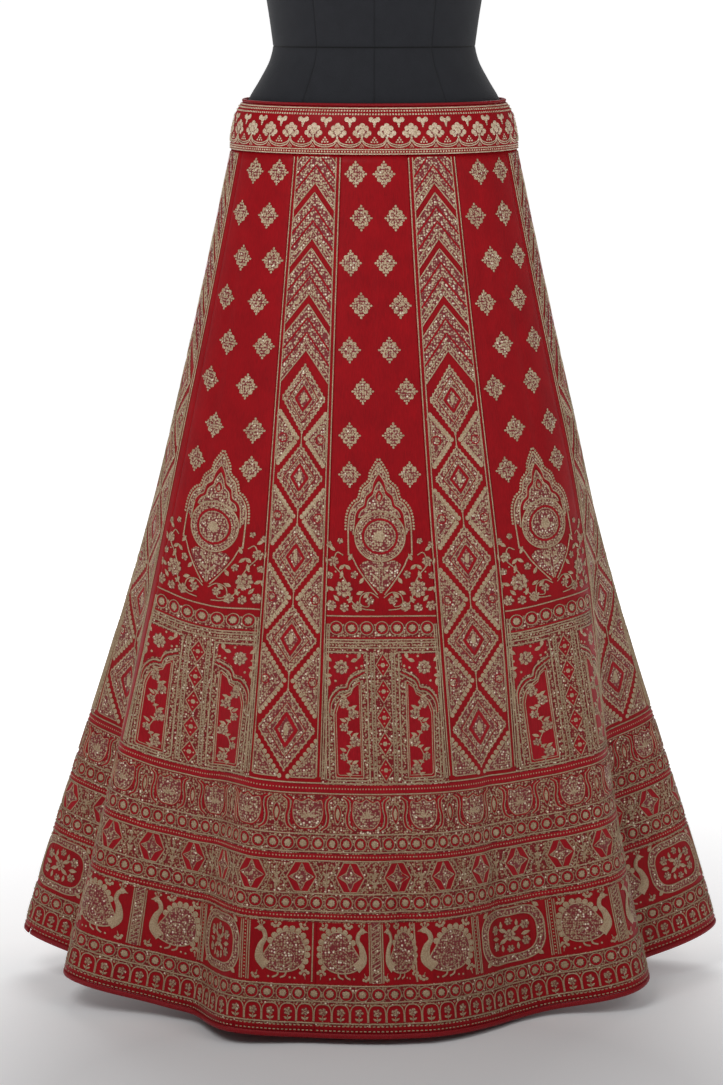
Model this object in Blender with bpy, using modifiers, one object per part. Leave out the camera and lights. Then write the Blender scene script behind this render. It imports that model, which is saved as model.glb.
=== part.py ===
"""A lehenga skirt of fourteen kalis on a limbless dress form.

Metres, +Z up. The front faces -Y, and the origin is the middle of the base, on the floor.
Angles run round the body in degrees: 0 is the front centre and +90 is the side at +X.
"""

import math

import bpy
import numpy as np

# Cloth
CLOTH = 0.002
SEAM_GAP = 0.0003

# Skirt: ovals at the waistband's lower edge and at the hem, and the length down the cloth. The hips take up
# a little of the length at the sides.
TOP_HALF_WIDTH, TOP_HALF_DEPTH = 0.1650, 0.1180
HEM_HALF_WIDTH, HEM_HALF_DEPTH = 0.4000, 0.2500
KALI_LENGTH, HIP_TAKE_UP = 0.9898, 0.0200
FLARE_CURVE = 0.20
BAND_LOW_SIDE, BAND_FRONT_DIP = 0.9965, 0.0035
KALI_ROWS = 16
COLUMNS = {"A": 8, "B": 5}
DENSE = 64

# Folds, going round: angle, how far out of the hem oval, and the share of the length where each begins
FOLDS = (
    # name, angle, out, start
    ("front_centre", 5, 0.016, 0.40),
    ("front_right_dip", 34, -0.058, 0.42),
    ("front_right_crest", 52, -0.024, 0.40),
    ("right_deep_valley", 80, -0.078, 0.32),
    ("right_side_crest", 104, 0.028, 0.35),
    ("back_right_valley", 120, -0.026, 0.30),
    ("back_right_crest", 137, 0.026, 0.25),
    ("back_dip_one", 154, -0.022, 0.40),
    ("back_crest", 171, 0.020, 0.35),
    ("back_dip_two", 189, -0.026, 0.42),
    ("back_left_crest_one", 206, 0.022, 0.30),
    ("back_dip_three", 221, -0.020, 0.40),
    ("back_left_crest_two", 235, 0.022, 0.28),
    ("back_left_valley", 247, -0.014, 0.35),
    ("left_side_crest", 262, 0.026, 0.35),
    ("left_deep_valley", 281, -0.044, 0.32),
    ("left_fold_edge", 299, 0.006, 0.36),
    ("left_panel", 319, -0.030, 0.45),
    ("front_left_dip", 325, -0.031, 0.45),
    ("front_left_crest", 338, 0.031, 0.42),
    ("front_left_flat", 350, 0.014, 0.42),
)

# Kalis from the closure at the wearer's right, going round by the front: the end angle of each at both edges
FIRST_SEAM = (-94.0, -93.0)
KALIS = (
    # name, cut, top angle, hem angle
    ("kali_B2_left", "B", -66.0, -62.5),
    ("kali_A1_left", "A", -33.5, -22.2),
    ("kali_B1_left", "B", -13.0, -9.6),
    ("kali_A0_front", "A", 13.0, 16.1),
    ("kali_B1_right", "B", 33.5, 32.0),
    ("kali_A1_right", "A", 66.0, 72.0),
    ("kali_B2_right", "B", 93.0, 101.0),
    ("kali_A2_right", "A", 124.6, 131.0),
    ("kali_B3_right", "B", 145.8, 148.0),
    ("kali_A3_right", "A", 171.7, 175.0),
    ("kali_B4_back", "B", 188.3, 189.0),
    ("kali_A3_left", "A", 213.0, 213.0),
    ("kali_B3_left", "B", 234.0, 230.0),
    ("kali_A2_left", "A", 266.0, 267.0),
)
SIDE_SEAM = "kali_B2_right"

# Waistband: share of its height, and how far its outer face stands out of the skirt's top oval
BAND_HEIGHT = 0.0530
BAND_THICK = 0.0030
BAND_SHAPE = (
    # share of height, wider by, deeper by
    (0.00, 0.0012, 0.0012),
    (0.25, 0.0010, 0.0010),
    (0.50, -0.0010, -0.0006),
    (0.75, -0.0048, -0.0040),
    (0.92, -0.0092, -0.0078),
    (1.00, -0.0128, -0.0108),
)
BAND_COLUMNS = 28
PIPING_RADIUS = 0.0018
BINDING_HEIGHT, BINDING_THICK = 0.0062, 0.0034

# Closure at the wearer's right
PLACKET_ROWS = 3
PLACKET_THICK = 0.0010
HOOK_LONG, HOOK_TALL, HOOK_THICK, HOOK_APART = 0.0080, 0.0060, 0.0008, 0.0015
HOOK_HEIGHTS = (0.30, 0.62)
HOOK_CLEAR = 0.0004
NEARBY_SHARE, NEARBY_ANGLE = 0.05, 0.01

# Dress form: height, half width, half depth, and how far the section sits forward
TORSO_SIDES = 48
TORSO = (
    # z, half width, half depth, forward
    (0.8000, 0.108, 0.076, 0.000),
    (0.8040, 0.132, 0.094, 0.000),
    (0.8180, 0.150, 0.107, 0.000),
    (0.8500, 0.1580, 0.1125, 0.000),
    (0.9200, 0.1615, 0.1160, 0.000),
    (0.9900, 0.1608, 0.1155, 0.000),
    (1.0050, 0.1600, 0.1154, 0.000),
    (1.0200, 0.1565, 0.1120, 0.000),
    (1.0360, 0.1510, 0.1070, 0.000),
    (1.0520, 0.1445, 0.1005, 0.000),
    (1.0750, 0.1310, 0.0925, 0.001),
    (1.0980, 0.1195, 0.0868, 0.003),
    (1.1120, 0.1165, 0.0855, 0.004),
    (1.1260, 0.1180, 0.0870, 0.005),
    (1.1640, 0.1235, 0.0930, 0.008),
    (1.2150, 0.1330, 0.1035, 0.014),
    (1.2600, 0.1425, 0.1160, 0.021),
    (1.2950, 0.1480, 0.1200, 0.023),
    (1.3350, 0.1500, 0.1100, 0.016),
    (1.3800, 0.1520, 0.0930, 0.004),
    (1.4150, 0.1580, 0.0800, -0.006),
    (1.4400, 0.1560, 0.0720, -0.010),
    (1.4620, 0.1320, 0.0650, -0.012),
    (1.4780, 0.0960, 0.0600, -0.012),
    (1.4900, 0.0680, 0.0560, -0.011),
    (1.5050, 0.0560, 0.0520, -0.009),
    (1.5350, 0.0520, 0.0500, -0.005),
)
NECK_CAP_SIDES = 32
NECK_CAP = (
    # radius, height above the neck
    (0.0000, 0.0080),
    (0.0282, 0.0072),
    (0.0447, 0.0040),
    (0.0470, 0.0025),
    (0.0470, 0.0000),
    (0.0000, 0.0000),
)
POLE_RADIUS, POLE_SIDES = 0.0160, 24
HUB_TOP = 0.0350
BASE = (
    # radius, height above the floor: the hub, the dished top, the rounded edge
    (0.0000, HUB_TOP),
    (0.0260, HUB_TOP),
    (0.0300, 0.0310),
    (0.0340, 0.0160),
    (0.1640, 0.0120),
    (0.1700, 0.0060),
    (0.1700, 0.0010),
    (0.1690, 0.0000),
    (0.0000, 0.0000),
)

# Meshes: the angle above which an edge of a tube is sharp, the sides of a turned piece, and where its ends meet
SHARP_DEGREES = 50
TURNED_SIDES = 48
MERGE_WITHIN = 0.00005

SILK = ("crimson_silk", (0.33, 0.004, 0.010, 1), 0.55, 0.0)
BORDERED = ("zari_worked_silk", (0.30, 0.16, 0.08, 1), 0.50, 0.2)
PIPED = ("red_piping", (0.42, 0.03, 0.03, 1), 0.55, 0.0)
JERSEY = ("black_jersey", (0.018, 0.018, 0.021, 1), 0.85, 0.0)
STEEL = ("black_steel", (0.02, 0.02, 0.02, 1), 0.35, 0.6)
BRASS = ("hook_brass", (0.45, 0.33, 0.14, 1), 0.35, 1.0)


def clear_scene():
    for old in list(bpy.data.objects):
        bpy.data.objects.remove(old, do_unlink=True)


def new_collection(name):
    made = bpy.data.collections.new(name)
    bpy.context.scene.collection.children.link(made)
    return made


def material(look):
    name, colour, roughness, metallic = look
    made = bpy.data.materials.get(name)
    if made:
        return made
    made = bpy.data.materials.new(name)
    made.use_nodes = True
    shader = made.node_tree.nodes["Principled BSDF"]
    shader.inputs["Base Color"].default_value = colour
    shader.inputs["Roughness"].default_value = roughness
    shader.inputs["Metallic"].default_value = metallic
    return made


def add_object(name, data, look, collection):
    data.materials.append(material(look))
    made = bpy.data.objects.new(name, data)
    collection.objects.link(made)
    return made


def smooth_step(share):
    share = np.clip(share, 0.0, 1.0)
    return share * share * (3.0 - 2.0 * share)


def unit(vectors):
    return vectors / np.linalg.norm(vectors, axis=-1, keepdims=True)


def flare(share):
    """How far down the flare is at a share of the length: slow at the hips, then nearly straight."""
    return (share + FLARE_CURVE * share * share) / (1.0 + FLARE_CURVE)


def fold_out(angle, share):
    """Distance out of the oval: each fold's own growth, joined round the body by half cosine waves."""
    places = np.radians([fold[1] for fold in FOLDS])
    places = np.append(places, places[0] + 2 * math.pi)
    outs = np.array([fold[2] for fold in FOLDS])
    starts = np.array([fold[3] for fold in FOLDS])
    turned = (angle - places[0]) % (2 * math.pi) + places[0]
    low = np.clip(np.searchsorted(places, turned, side="right") - 1, 0, len(FOLDS) - 1)
    high = (low + 1) % len(FOLDS)
    along = (turned - places[low]) / (places[low + 1] - places[low])
    weight = (1.0 - np.cos(math.pi * along)) / 2.0
    grown = [outs[i] * smooth_step((share - starts[i]) / (1.0 - starts[i])) for i in (low, high)]
    return grown[0] * (1.0 - weight) + grown[1] * weight


def plan(angle, share):
    """Points on the skirt's outline in plan, at an angle round the body and a share of the length down."""
    half_width = TOP_HALF_WIDTH + (HEM_HALF_WIDTH - TOP_HALF_WIDTH) * flare(share)
    half_depth = TOP_HALF_DEPTH + (HEM_HALF_DEPTH - TOP_HALF_DEPTH) * flare(share)
    out = unit(np.stack([np.sin(angle) / half_width, -np.cos(angle) / half_depth], axis=-1))
    oval = np.stack([half_width * np.sin(angle), -half_depth * np.cos(angle)], axis=-1)
    return oval + out * fold_out(angle, share)[..., None]


def angles_across(start, end, share, across):
    """Angles at the given shares of the cloth's width between two seams, at one height."""
    dense = np.linspace(start, end, DENSE)
    steps = np.linalg.norm(np.diff(plan(dense, np.full(DENSE, share)), axis=0), axis=1)
    length = np.concatenate([[0.0], np.cumsum(steps)])
    return np.interp(across * length[-1], length, dense), length[-1]


def kali_surface(seams, columns):
    """(points, outward normals) of one kali, row by row from the waist down. Each line down the cloth keeps
    the same length, so the hem rises where the cloth flares more."""
    (top_start, hem_start), (top_end, hem_end) = np.radians(seams)
    shares = np.linspace(0.0, 1.0, KALI_ROWS + 1)
    angles = np.empty((KALI_ROWS + 1, columns + 1))
    for row, share in enumerate(shares):
        start = top_start + (hem_start - top_start) * share
        end = top_end + (hem_end - top_end) * share
        width = angles_across(start, end, share, np.array([0.0]))[1]
        inset = SEAM_GAP / 2 / width
        across = np.linspace(inset, 1.0 - inset, columns + 1)
        angles[row] = angles_across(start, end, share, across)[0]
    flat = plan(angles, np.repeat(shares[:, None], columns + 1, axis=1))
    spread = np.linalg.norm(flat[-1] - flat[0], axis=-1)
    length = KALI_LENGTH - HIP_TAKE_UP * np.sin(angles[0]) ** 4
    drop = np.sqrt(length**2 - spread**2)
    heights = band_low(angles[0]) - shares[:, None] * drop
    points = np.concatenate([flat, heights[..., None]], axis=-1)
    step = 1e-4
    level = plan(angles + step, shares[:, None] + 0 * angles) - plan(angles - step, shares[:, None] + 0 * angles)
    level = np.concatenate([level, np.zeros_like(heights)[..., None]], axis=-1)
    down = np.gradient(points, axis=0)
    return points, unit(np.cross(down, level))


def band_low(angle):
    """Height of the seam between the waistband and the kalis, lowest at the front centre."""
    return BAND_LOW_SIDE - BAND_FRONT_DIP * (1.0 + np.cos(angle)) / 2.0


def wall(name, outer, inner, look, collection):
    """A closed wall between two grids of points, with its four edges."""
    rows, columns = outer.shape[:2]
    points = np.concatenate([outer.reshape(-1, 3), inner.reshape(-1, 3)])
    index = np.arange(rows * columns).reshape(rows, columns)
    deep = index + rows * columns
    quads = [
        np.stack([index[:-1, :-1], index[1:, :-1], index[1:, 1:], index[:-1, 1:]], -1),
        np.stack([deep[:-1, :-1], deep[:-1, 1:], deep[1:, 1:], deep[1:, :-1]], -1),
        np.stack([index[:-1, 0], deep[:-1, 0], deep[1:, 0], index[1:, 0]], -1),
        np.stack([index[1:, -1], deep[1:, -1], deep[:-1, -1], index[:-1, -1]], -1),
        np.stack([index[0, 1:], deep[0, 1:], deep[0, :-1], index[0, :-1]], -1),
        np.stack([index[-1, :-1], deep[-1, :-1], deep[-1, 1:], index[-1, 1:]], -1),
    ]
    faces = np.concatenate([quad.reshape(-1, 4) for quad in quads])
    data = bpy.data.meshes.new(name)
    data.from_pydata(points.tolist(), [], split_evenly(faces))
    data.shade_smooth()
    return add_object(name, data, look, collection)


def split_evenly(quads):
    """Each quad as two triangles, always along the same corners, so that stacked walls stay parallel."""
    return [(a, b, c) for a, b, c, d in quads.tolist()] + [(a, c, d) for a, b, c, d in quads.tolist()]


def tube_of_sections(name, rings, look, collection):
    """A closed solid through rings of points, with both ends filled."""
    count, sides = rings.shape[:2]
    index = np.arange(count * sides).reshape(count, sides)
    after = np.roll(index, -1, axis=1)
    sleeve = np.stack([index[:-1], after[:-1], after[1:], index[1:]], -1).reshape(-1, 4)
    data = bpy.data.meshes.new(name)
    faces = split_evenly(sleeve) + [tuple(index[0][::-1].tolist()), tuple(index[-1].tolist())]
    data.from_pydata(rings.reshape(-1, 3).tolist(), [], faces)
    data.shade_smooth()
    data.set_sharp_from_angle(angle=math.radians(SHARP_DEGREES))
    return add_object(name, data, look, collection)


def turned(name, profile, look, collection, segments=TURNED_SIDES):
    """A solid turned about the Z axis from a profile that runs down its outer side."""
    data = bpy.data.meshes.new(name)
    points = [(radius, 0.0, height) for radius, height in reversed(profile)]
    data.from_pydata(points, [(i, i + 1) for i in range(len(points) - 1)], [])
    made = add_object(name, data, look, collection)
    screw = made.modifiers.new("Turn", "SCREW")
    screw.axis = "Z"
    screw.steps = screw.render_steps = segments
    screw.use_merge_vertices = True
    screw.merge_threshold = MERGE_WITHIN
    screw.use_normal_calculate = True
    return made


def build_kalis(collection):
    surfaces = {}
    before = FIRST_SEAM
    for name, cut, top, hem in KALIS:
        points, normals = kali_surface((before, (top, hem)), COLUMNS[cut])
        look = BORDERED if cut == "B" else SILK
        wall(name, points, points - normals * CLOTH, look, collection)
        surfaces[name] = (points, normals)
        before = (top, hem)
    return surfaces


def band_face(angle, share, inwards):
    """A point on the waistband at an angle and a share of its height, that far in from its outer face."""
    shares, wider, deeper = np.array(BAND_SHAPE).T
    half_width = TOP_HALF_WIDTH + np.interp(share, shares, wider) - inwards
    half_depth = TOP_HALF_DEPTH + np.interp(share, shares, deeper) - inwards
    height = band_low(angle) + SEAM_GAP + share * BAND_HEIGHT
    return np.stack([half_width * np.sin(angle), -half_depth * np.cos(angle), height], axis=-1)


def band_angles(start, end):
    """Angles of a stretch of the band, its ends half a seam gap short."""
    inset = SEAM_GAP / TOP_HALF_DEPTH
    return np.linspace(math.radians(start) + inset, math.radians(end) - inset, BAND_COLUMNS + 1)


def build_band(collection):
    left = FIRST_SEAM[0]
    right = next(kali[2] for kali in KALIS if kali[0] == SIDE_SEAM)
    shares = np.array([row[0] for row in BAND_SHAPE])[::-1]
    for side, start, end in (("front", left, right), ("back", right, left + 360)):
        angle, share = np.meshgrid(band_angles(start, end), shares)
        outer = band_face(angle, share, 0.0)
        wall(f"waistband_{side}", outer, band_face(angle, share, BAND_THICK), PIPED, collection)
        top = band_face(angle[0], share[0], BAND_THICK / 2)
        top[:, 2] += SEAM_GAP + PIPING_RADIUS
        cord(f"band_piping_{side}", top, PIPING_RADIUS, PIPED, collection)


def cord(name, path, radius, look, collection):
    """A round cord along a path, with filled ends."""
    curve = bpy.data.curves.new(name, "CURVE")
    curve.dimensions = "3D"
    curve.bevel_depth = radius
    curve.bevel_resolution = 1
    curve.use_fill_caps = True
    spline = curve.splines.new("POLY")
    spline.points.add(len(path) - 1)
    spline.points.foreach_set("co", np.column_stack([path, np.ones(len(path))]).ravel())
    return add_object(name, curve, look, collection)


def build_binding(surfaces, collection):
    """The folded binding below the kalis' lower edge, in two lengths that meet at the side seams."""
    names = [kali[0] for kali in KALIS]
    middle = names.index(SIDE_SEAM) + 1
    turns = np.radians(np.arange(22.5, 360, 45.0))
    for side, group in (("front", names[:middle]), ("back", names[middle:])):
        rings = []
        for name in group:
            points, normals = surfaces[name]
            down = unit(points[-1] - points[-2])
            centre = points[-1] - normals[-1] * CLOTH / 2 + down * (SEAM_GAP + BINDING_HEIGHT / 2)
            out = np.cos(turns)[None, :, None] * normals[-1][:, None] * BINDING_THICK / 2
            below = np.sin(turns)[None, :, None] * down[:, None] * BINDING_HEIGHT / 2
            stretch = 1.0 / math.cos(math.radians(22.5))
            rings.append(centre[:, None] + (out + below) * stretch)
        tube_of_sections(f"hem_binding_{side}", np.concatenate(joined(rings)), PIPED, collection)


def joined(rings):
    """The rings of a run of kalis, with one ring in the middle of each seam instead of two."""
    for before, after in zip(rings[:-1], rings[1:]):
        after[0] = (before[-1] + after[0]) / 2
    return [ring[:-1] for ring in rings[:-1]] + [rings[-1]]


def build_closure(surfaces, collection):
    """The underlap behind the opening, and two hooks and eyes inside the waistband."""
    first, last = surfaces[KALIS[0][0]], surfaces[KALIS[-1][0]]
    rows = slice(0, PLACKET_ROWS + 1)
    seam_points = (last[0][rows, -1:] + first[0][rows, :1]) / 2
    points = np.concatenate([last[0][rows, -2:-1], seam_points, first[0][rows, 1:2]], axis=1)
    normals = np.concatenate([last[1][rows, -2:-1], first[1][rows, :1], first[1][rows, 1:2]], axis=1)
    outer = points - normals * (CLOTH + SEAM_GAP)
    wall("placket_underlap", outer, outer - normals * PLACKET_THICK, SILK, collection)
    seam = math.radians(FIRST_SEAM[0])
    aside = (HOOK_LONG + HOOK_APART) / 2
    for number, share in enumerate(HOOK_HEIGHTS, 1):
        for kind, way in (("hook", 1), ("eye", -1)):
            angle = np.array(seam + way * aside / TOP_HALF_DEPTH)
            here = band_face(angle, share, BAND_THICK)
            higher = band_face(angle, share + NEARBY_SHARE, BAND_THICK)
            along = band_face(angle + NEARBY_ANGLE, share, BAND_THICK)
            up = unit(higher - here)
            out = unit(np.cross(unit(along - here), up))
            across = np.cross(up, out)
            centre = here - out * (HOOK_CLEAR + HOOK_THICK / 2)
            bpy.ops.mesh.primitive_cube_add(size=1.0)
            plate = bpy.context.object
            data = plate.data
            size = np.array([HOOK_LONG, HOOK_TALL, HOOK_THICK])
            corners = np.empty(len(data.vertices) * 3)
            data.vertices.foreach_get("co", corners)
            frame = np.stack([across, up, out])
            data.vertices.foreach_set("co", ((corners.reshape(-1, 3) * size) @ frame + centre).ravel())
            data.name = f"{kind}_{number}"
            bpy.data.objects.remove(plate, do_unlink=True)
            add_object(f"{kind}_{number}", data, BRASS, collection)


def build_form(collection):
    """The cloth-covered torso, its neck cap, the pole and the round base."""
    turns = np.linspace(0.0, 2 * math.pi, TORSO_SIDES, endpoint=False)
    rings = [
        np.stack(
            [wide * np.sin(turns), -deep * np.cos(turns) - forward, np.full(TORSO_SIDES, height)], axis=-1
        )
        for height, wide, deep, forward in TORSO
    ]
    tube_of_sections("form_torso", np.array(rings), JERSEY, collection)
    neck = turned("neck_cap", NECK_CAP, STEEL, collection, NECK_CAP_SIDES)
    neck.location = (0.0, -TORSO[-1][3], TORSO[-1][0] + SEAM_GAP)
    foot, top = HUB_TOP + SEAM_GAP, TORSO[0][0] - SEAM_GAP
    bpy.ops.mesh.primitive_cylinder_add(vertices=POLE_SIDES, radius=POLE_RADIUS, depth=top - foot)
    pole = bpy.context.object
    pole.name = pole.data.name = "form_pole"
    pole.location = (0.0, 0.0, (foot + top) / 2)
    pole.data.materials.append(material(STEEL))
    for old in list(pole.users_collection):
        old.objects.unlink(pole)
    collection.objects.link(pole)
    turned("form_base", BASE, STEEL, collection)


def main():
    clear_scene()
    collection = new_collection("lehenga_skirt_on_dress_form")
    surfaces = build_kalis(collection)
    build_band(collection)
    build_binding(surfaces, collection)
    build_closure(surfaces, collection)
    build_form(collection)


main()
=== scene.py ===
"""A lehenga skirt of fourteen kalis on a black dress form: its cloth, zari embroidery, form and plain studio.

Metres, +Z up, the front facing -Y. Panel shapes are drawn flat, x to the right and y up, with a lift off the cloth,
and then laid on the skirt or the waistband by share of width and distance down the cloth.
"""

import math

import bpy
import numpy as np
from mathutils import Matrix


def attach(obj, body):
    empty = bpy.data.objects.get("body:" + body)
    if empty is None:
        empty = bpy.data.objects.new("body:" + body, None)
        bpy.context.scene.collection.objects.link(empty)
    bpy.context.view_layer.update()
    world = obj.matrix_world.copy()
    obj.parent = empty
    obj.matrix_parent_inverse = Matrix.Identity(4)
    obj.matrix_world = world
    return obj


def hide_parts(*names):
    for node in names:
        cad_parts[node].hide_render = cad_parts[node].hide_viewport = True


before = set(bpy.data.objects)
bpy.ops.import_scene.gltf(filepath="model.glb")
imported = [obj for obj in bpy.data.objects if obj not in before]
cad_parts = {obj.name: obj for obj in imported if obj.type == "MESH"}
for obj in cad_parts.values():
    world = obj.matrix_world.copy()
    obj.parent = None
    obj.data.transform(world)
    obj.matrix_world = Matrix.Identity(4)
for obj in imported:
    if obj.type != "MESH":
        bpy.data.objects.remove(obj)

bl_info = {
    "name": "Lehenga skirt",
    "version": (1, 0, 0),
    "blender": (4, 5, 0),
    "location": "View3D > Sidebar > Lehenga",
    "description": "Builds an embroidered panelled skirt on a dress form",
    "category": "Add Mesh",
}

# Cloth and its cut, as the solids have them
CLOTH, SEAM_GAP, SEAM_OPEN = 0.002, 0.0003, 0.0001
TOP_HALF_WIDTH, TOP_HALF_DEPTH = 0.1650, 0.1180
HEM_HALF_WIDTH, HEM_HALF_DEPTH = 0.4000, 0.2500
KALI_LENGTH, HIP_TAKE_UP = 0.9898, 0.0200
FLARE_CURVE = 0.20
BAND_LOW_SIDE, BAND_FRONT_DIP = 0.9965, 0.0035
FOLDS = (
    # angle, out, start
    (5, 0.016, 0.40),
    (34, -0.058, 0.42),
    (52, -0.024, 0.40),
    (80, -0.078, 0.32),
    (104, 0.028, 0.35),
    (120, -0.026, 0.30),
    (137, 0.026, 0.25),
    (154, -0.022, 0.40),
    (171, 0.020, 0.35),
    (189, -0.026, 0.42),
    (206, 0.022, 0.30),
    (221, -0.020, 0.40),
    (235, 0.022, 0.28),
    (247, -0.014, 0.35),
    (262, 0.026, 0.35),
    (281, -0.044, 0.32),
    (299, 0.006, 0.36),
    (319, -0.030, 0.45),
    (325, -0.031, 0.45),
    (338, 0.031, 0.42),
    (350, 0.014, 0.42),
)
FIRST_SEAM = (-94.0, -93.0)
KALIS = (
    # name, cut, top angle, hem angle, middle of the pattern as a share of the width
    ("kali_B2_left", "B", -66.0, -62.5, 0.40),
    ("kali_A1_left", "A", -33.5, -22.2, 0.50),
    ("kali_B1_left", "B", -13.0, -9.6, 0.50),
    ("kali_A0_front", "A", 13.0, 16.1, 0.50),
    ("kali_B1_right", "B", 33.5, 32.0, 0.50),
    ("kali_A1_right", "A", 66.0, 72.0, 0.50),
    ("kali_B2_right", "B", 93.0, 101.0, 0.56),
    ("kali_A2_right", "A", 124.6, 131.0, 0.50),
    ("kali_B3_right", "B", 145.8, 148.0, 0.50),
    ("kali_A3_right", "A", 171.7, 175.0, 0.50),
    ("kali_B4_back", "B", 188.3, 189.0, 0.50),
    ("kali_A3_left", "A", 213.0, 213.0, 0.50),
    ("kali_B3_left", "B", 234.0, 230.0, 0.50),
    ("kali_A2_left", "A", 266.0, 267.0, 0.50),
)
FRONT_KALI, NARROW_KALI = 3, 4
OWN_WIDTH = (0, 6)

# Creases pressed into the cloth: kali and share across, where it starts and ends down the cloth, width, depth
CREASES = (
    # place, from, to, width, depth
    (3.59, 0.70, 1.05, 0.0150, 0.0120),
    (3.44, 0.02, 0.52, 0.0045, 0.0010),
    (3.80, 0.10, 0.60, 0.0060, 0.0009),
    (1.30, 0.05, 0.55, 0.0050, 0.0010),
    (1.72, 0.20, 0.70, 0.0060, 0.0012),
    (1.18, 0.45, 0.95, 0.0120, 0.0030),
    (2.35, 0.55, 1.05, 0.0110, 0.0040),
    (4.62, 0.60, 1.05, 0.0130, 0.0050),
    (5.22, 0.00, 0.50, 0.0050, 0.0014),
    (5.60, 0.05, 0.45, 0.0060, 0.0016),
    (5.45, 0.50, 1.05, 0.0140, 0.0035),
    (7.40, 0.10, 0.60, 0.0060, 0.0012),
    (7.70, 0.55, 1.05, 0.0130, 0.0060),
    (9.35, 0.05, 0.50, 0.0055, 0.0010),
    (9.62, 0.65, 1.05, 0.0140, 0.0080),
    (11.5, 0.10, 0.60, 0.0050, 0.0012),
    (11.3, 0.60, 1.05, 0.0130, 0.0060),
    (13.4, 0.05, 0.55, 0.0060, 0.0012),
    (13.7, 0.50, 1.05, 0.0120, 0.0040),
)
SEAM_DIP, SEAM_ROLL, BORDER_FROM = 0.0007, 0.0022, 0.70

# Grid of the finished cloth
ROWS, COLUMNS, DENSE = 96, 24, 96

# Waistband, as the solid has it
BAND_HEIGHT, BAND_THICK = 0.0530, 0.0030
BAND_SHAPE = (
    # share of height, wider by, deeper by
    (0.00, 0.0012, 0.0012),
    (0.25, 0.0010, 0.0010),
    (0.50, -0.0010, -0.0006),
    (0.75, -0.0048, -0.0040),
    (0.92, -0.0092, -0.0078),
    (1.00, -0.0128, -0.0108),
)

# Drawing of the embroidery, in millimetres: lifts off the cloth and crowns above it; the fill's cells per metre, and
# the whitish colour of a few of them, a painted highlight standing for the glint of sequins
FILL_CELLS, SEQUIN_GLINT = 360.0, (0.88, 0.80, 0.62, 1.0)
INLAY_LIFT, THREAD_LIFT, THREAD_CROWN = 0.38, 0.40, 1.30
FILL_LIFT, FILL_CROWN, RED_LIFT, RED_CROWN = 0.42, 0.72, 0.75, 1.12
LINE_HALF, BEAD = 0.75, 1.4
MM = 0.001

# Wide kali: small diamonds of stitches, the arch about its medallion, the garden and the windows
BUTIS = (
    # down, one aside, the other aside
    (21.4, -21.3, 10.6),
    (71.0, -15.5, 23.3),
    (121.7, -28.0, 11.4),
    (169.8, -16.9, 27.6),
    (219.8, -30.5, 14.4),
    (266.6, -16.4, 33.2),
    (316.6, -32.0, 17.2),
    (360.7, -33.0, 35.2),
)
ARCH_DOWN = 430.6
ARCH = ((0, 84), (8, 70), (10, 61), (18, 53), (21.5, 41), (27, 37), (33, 27), (35.5, 12), (36, -19), (36, -20))
ARCH_INNER = ((0, 72), (6.2, 61), (8.4, 52), (15, 46), (17.5, 36), (23, 32), (27.5, 24), (29.5, 8), (30, 2))
ARCH_CROWN = ((0, 62), (4.6, 54), (6.6, 47), (12.4, 41), (14.4, 33), (20, 29), (23.4, 21), (14, 25.5), (0, 29.5))
GARDEN_STEM = ((8, -514), (22, -512), (34, -503), (37, -488), (44, -474), (53, -462), (49, -449), (42, -452))
GARDEN_FLOWERS = (
    # aside, height, radius, petals
    (42, -490, 10.5, 8),
    (53, -459, 6.0, 6),
    (27, -510, 6.2, 6),
    (13, -503, 5.4, 6),
    (57, -509, 6.4, 6),
    (58, -475, 4.4, 5),
    (30, -474, 4.6, 5),
    (58, -440, 4.2, 5),
    (45, -436, 3.6, 5),
    (42, -511, 5.4, 6),
)
GARDEN_LEAVES = (
    # aside, height, turn
    (28, -496, 1.2),
    (34, -468, -0.9),
    (48, -504, -0.7),
    (53, -492, -1.1),
    (20, -500, 0.9),
    (47, -468, 0.9),
    (37, -506, 0.5),
    (61, -494, -0.2),
    (51, -447, -0.9),
    (45, -478, 0.2),
    (24, -484, 0.6),
    (60, -463, -0.4),
    (36, -458, 0.5),
)
WINDOW_ARCH = (
    (21.7, -581.7),
    (34.9, -588.5),
    (40.0, -594),
    (42.1, -600.5),
    (50, -602),
    (57, -608),
    (61.6, -616.6),
    (62.6, -628),
)
WINDOW_PANEL = (
    (25.4, -703),
    (57.0, -703),
    (57.0, -629),
    (52.5, -617),
    (44.5, -610),
    (37, -606),
    (33.5, -598),
    (25.4, -592.5),
)
CREEPER = ((41, -702), (38, -693), (44, -679), (37, -662), (43, -646), (38, -631), (42, -619))

# Narrow kali: chevrons, and the chain of diamonds
CHEVRONS = (-20.0, 43.0, 106.0, 169.5)
CHEVRON_SLOPE, DIAMOND_SLOPE = 1.30, 1.26
DIAMONDS = (
    # top, bottom, half width
    (239.0, 314.5, 25.6),
    (330.3, 402.4, 27.4),
    (420.5, 494.9, 28.6),
    (513.0, 587.3, 31.0),
    (607.0, 696.0, 35.0),
)

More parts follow.
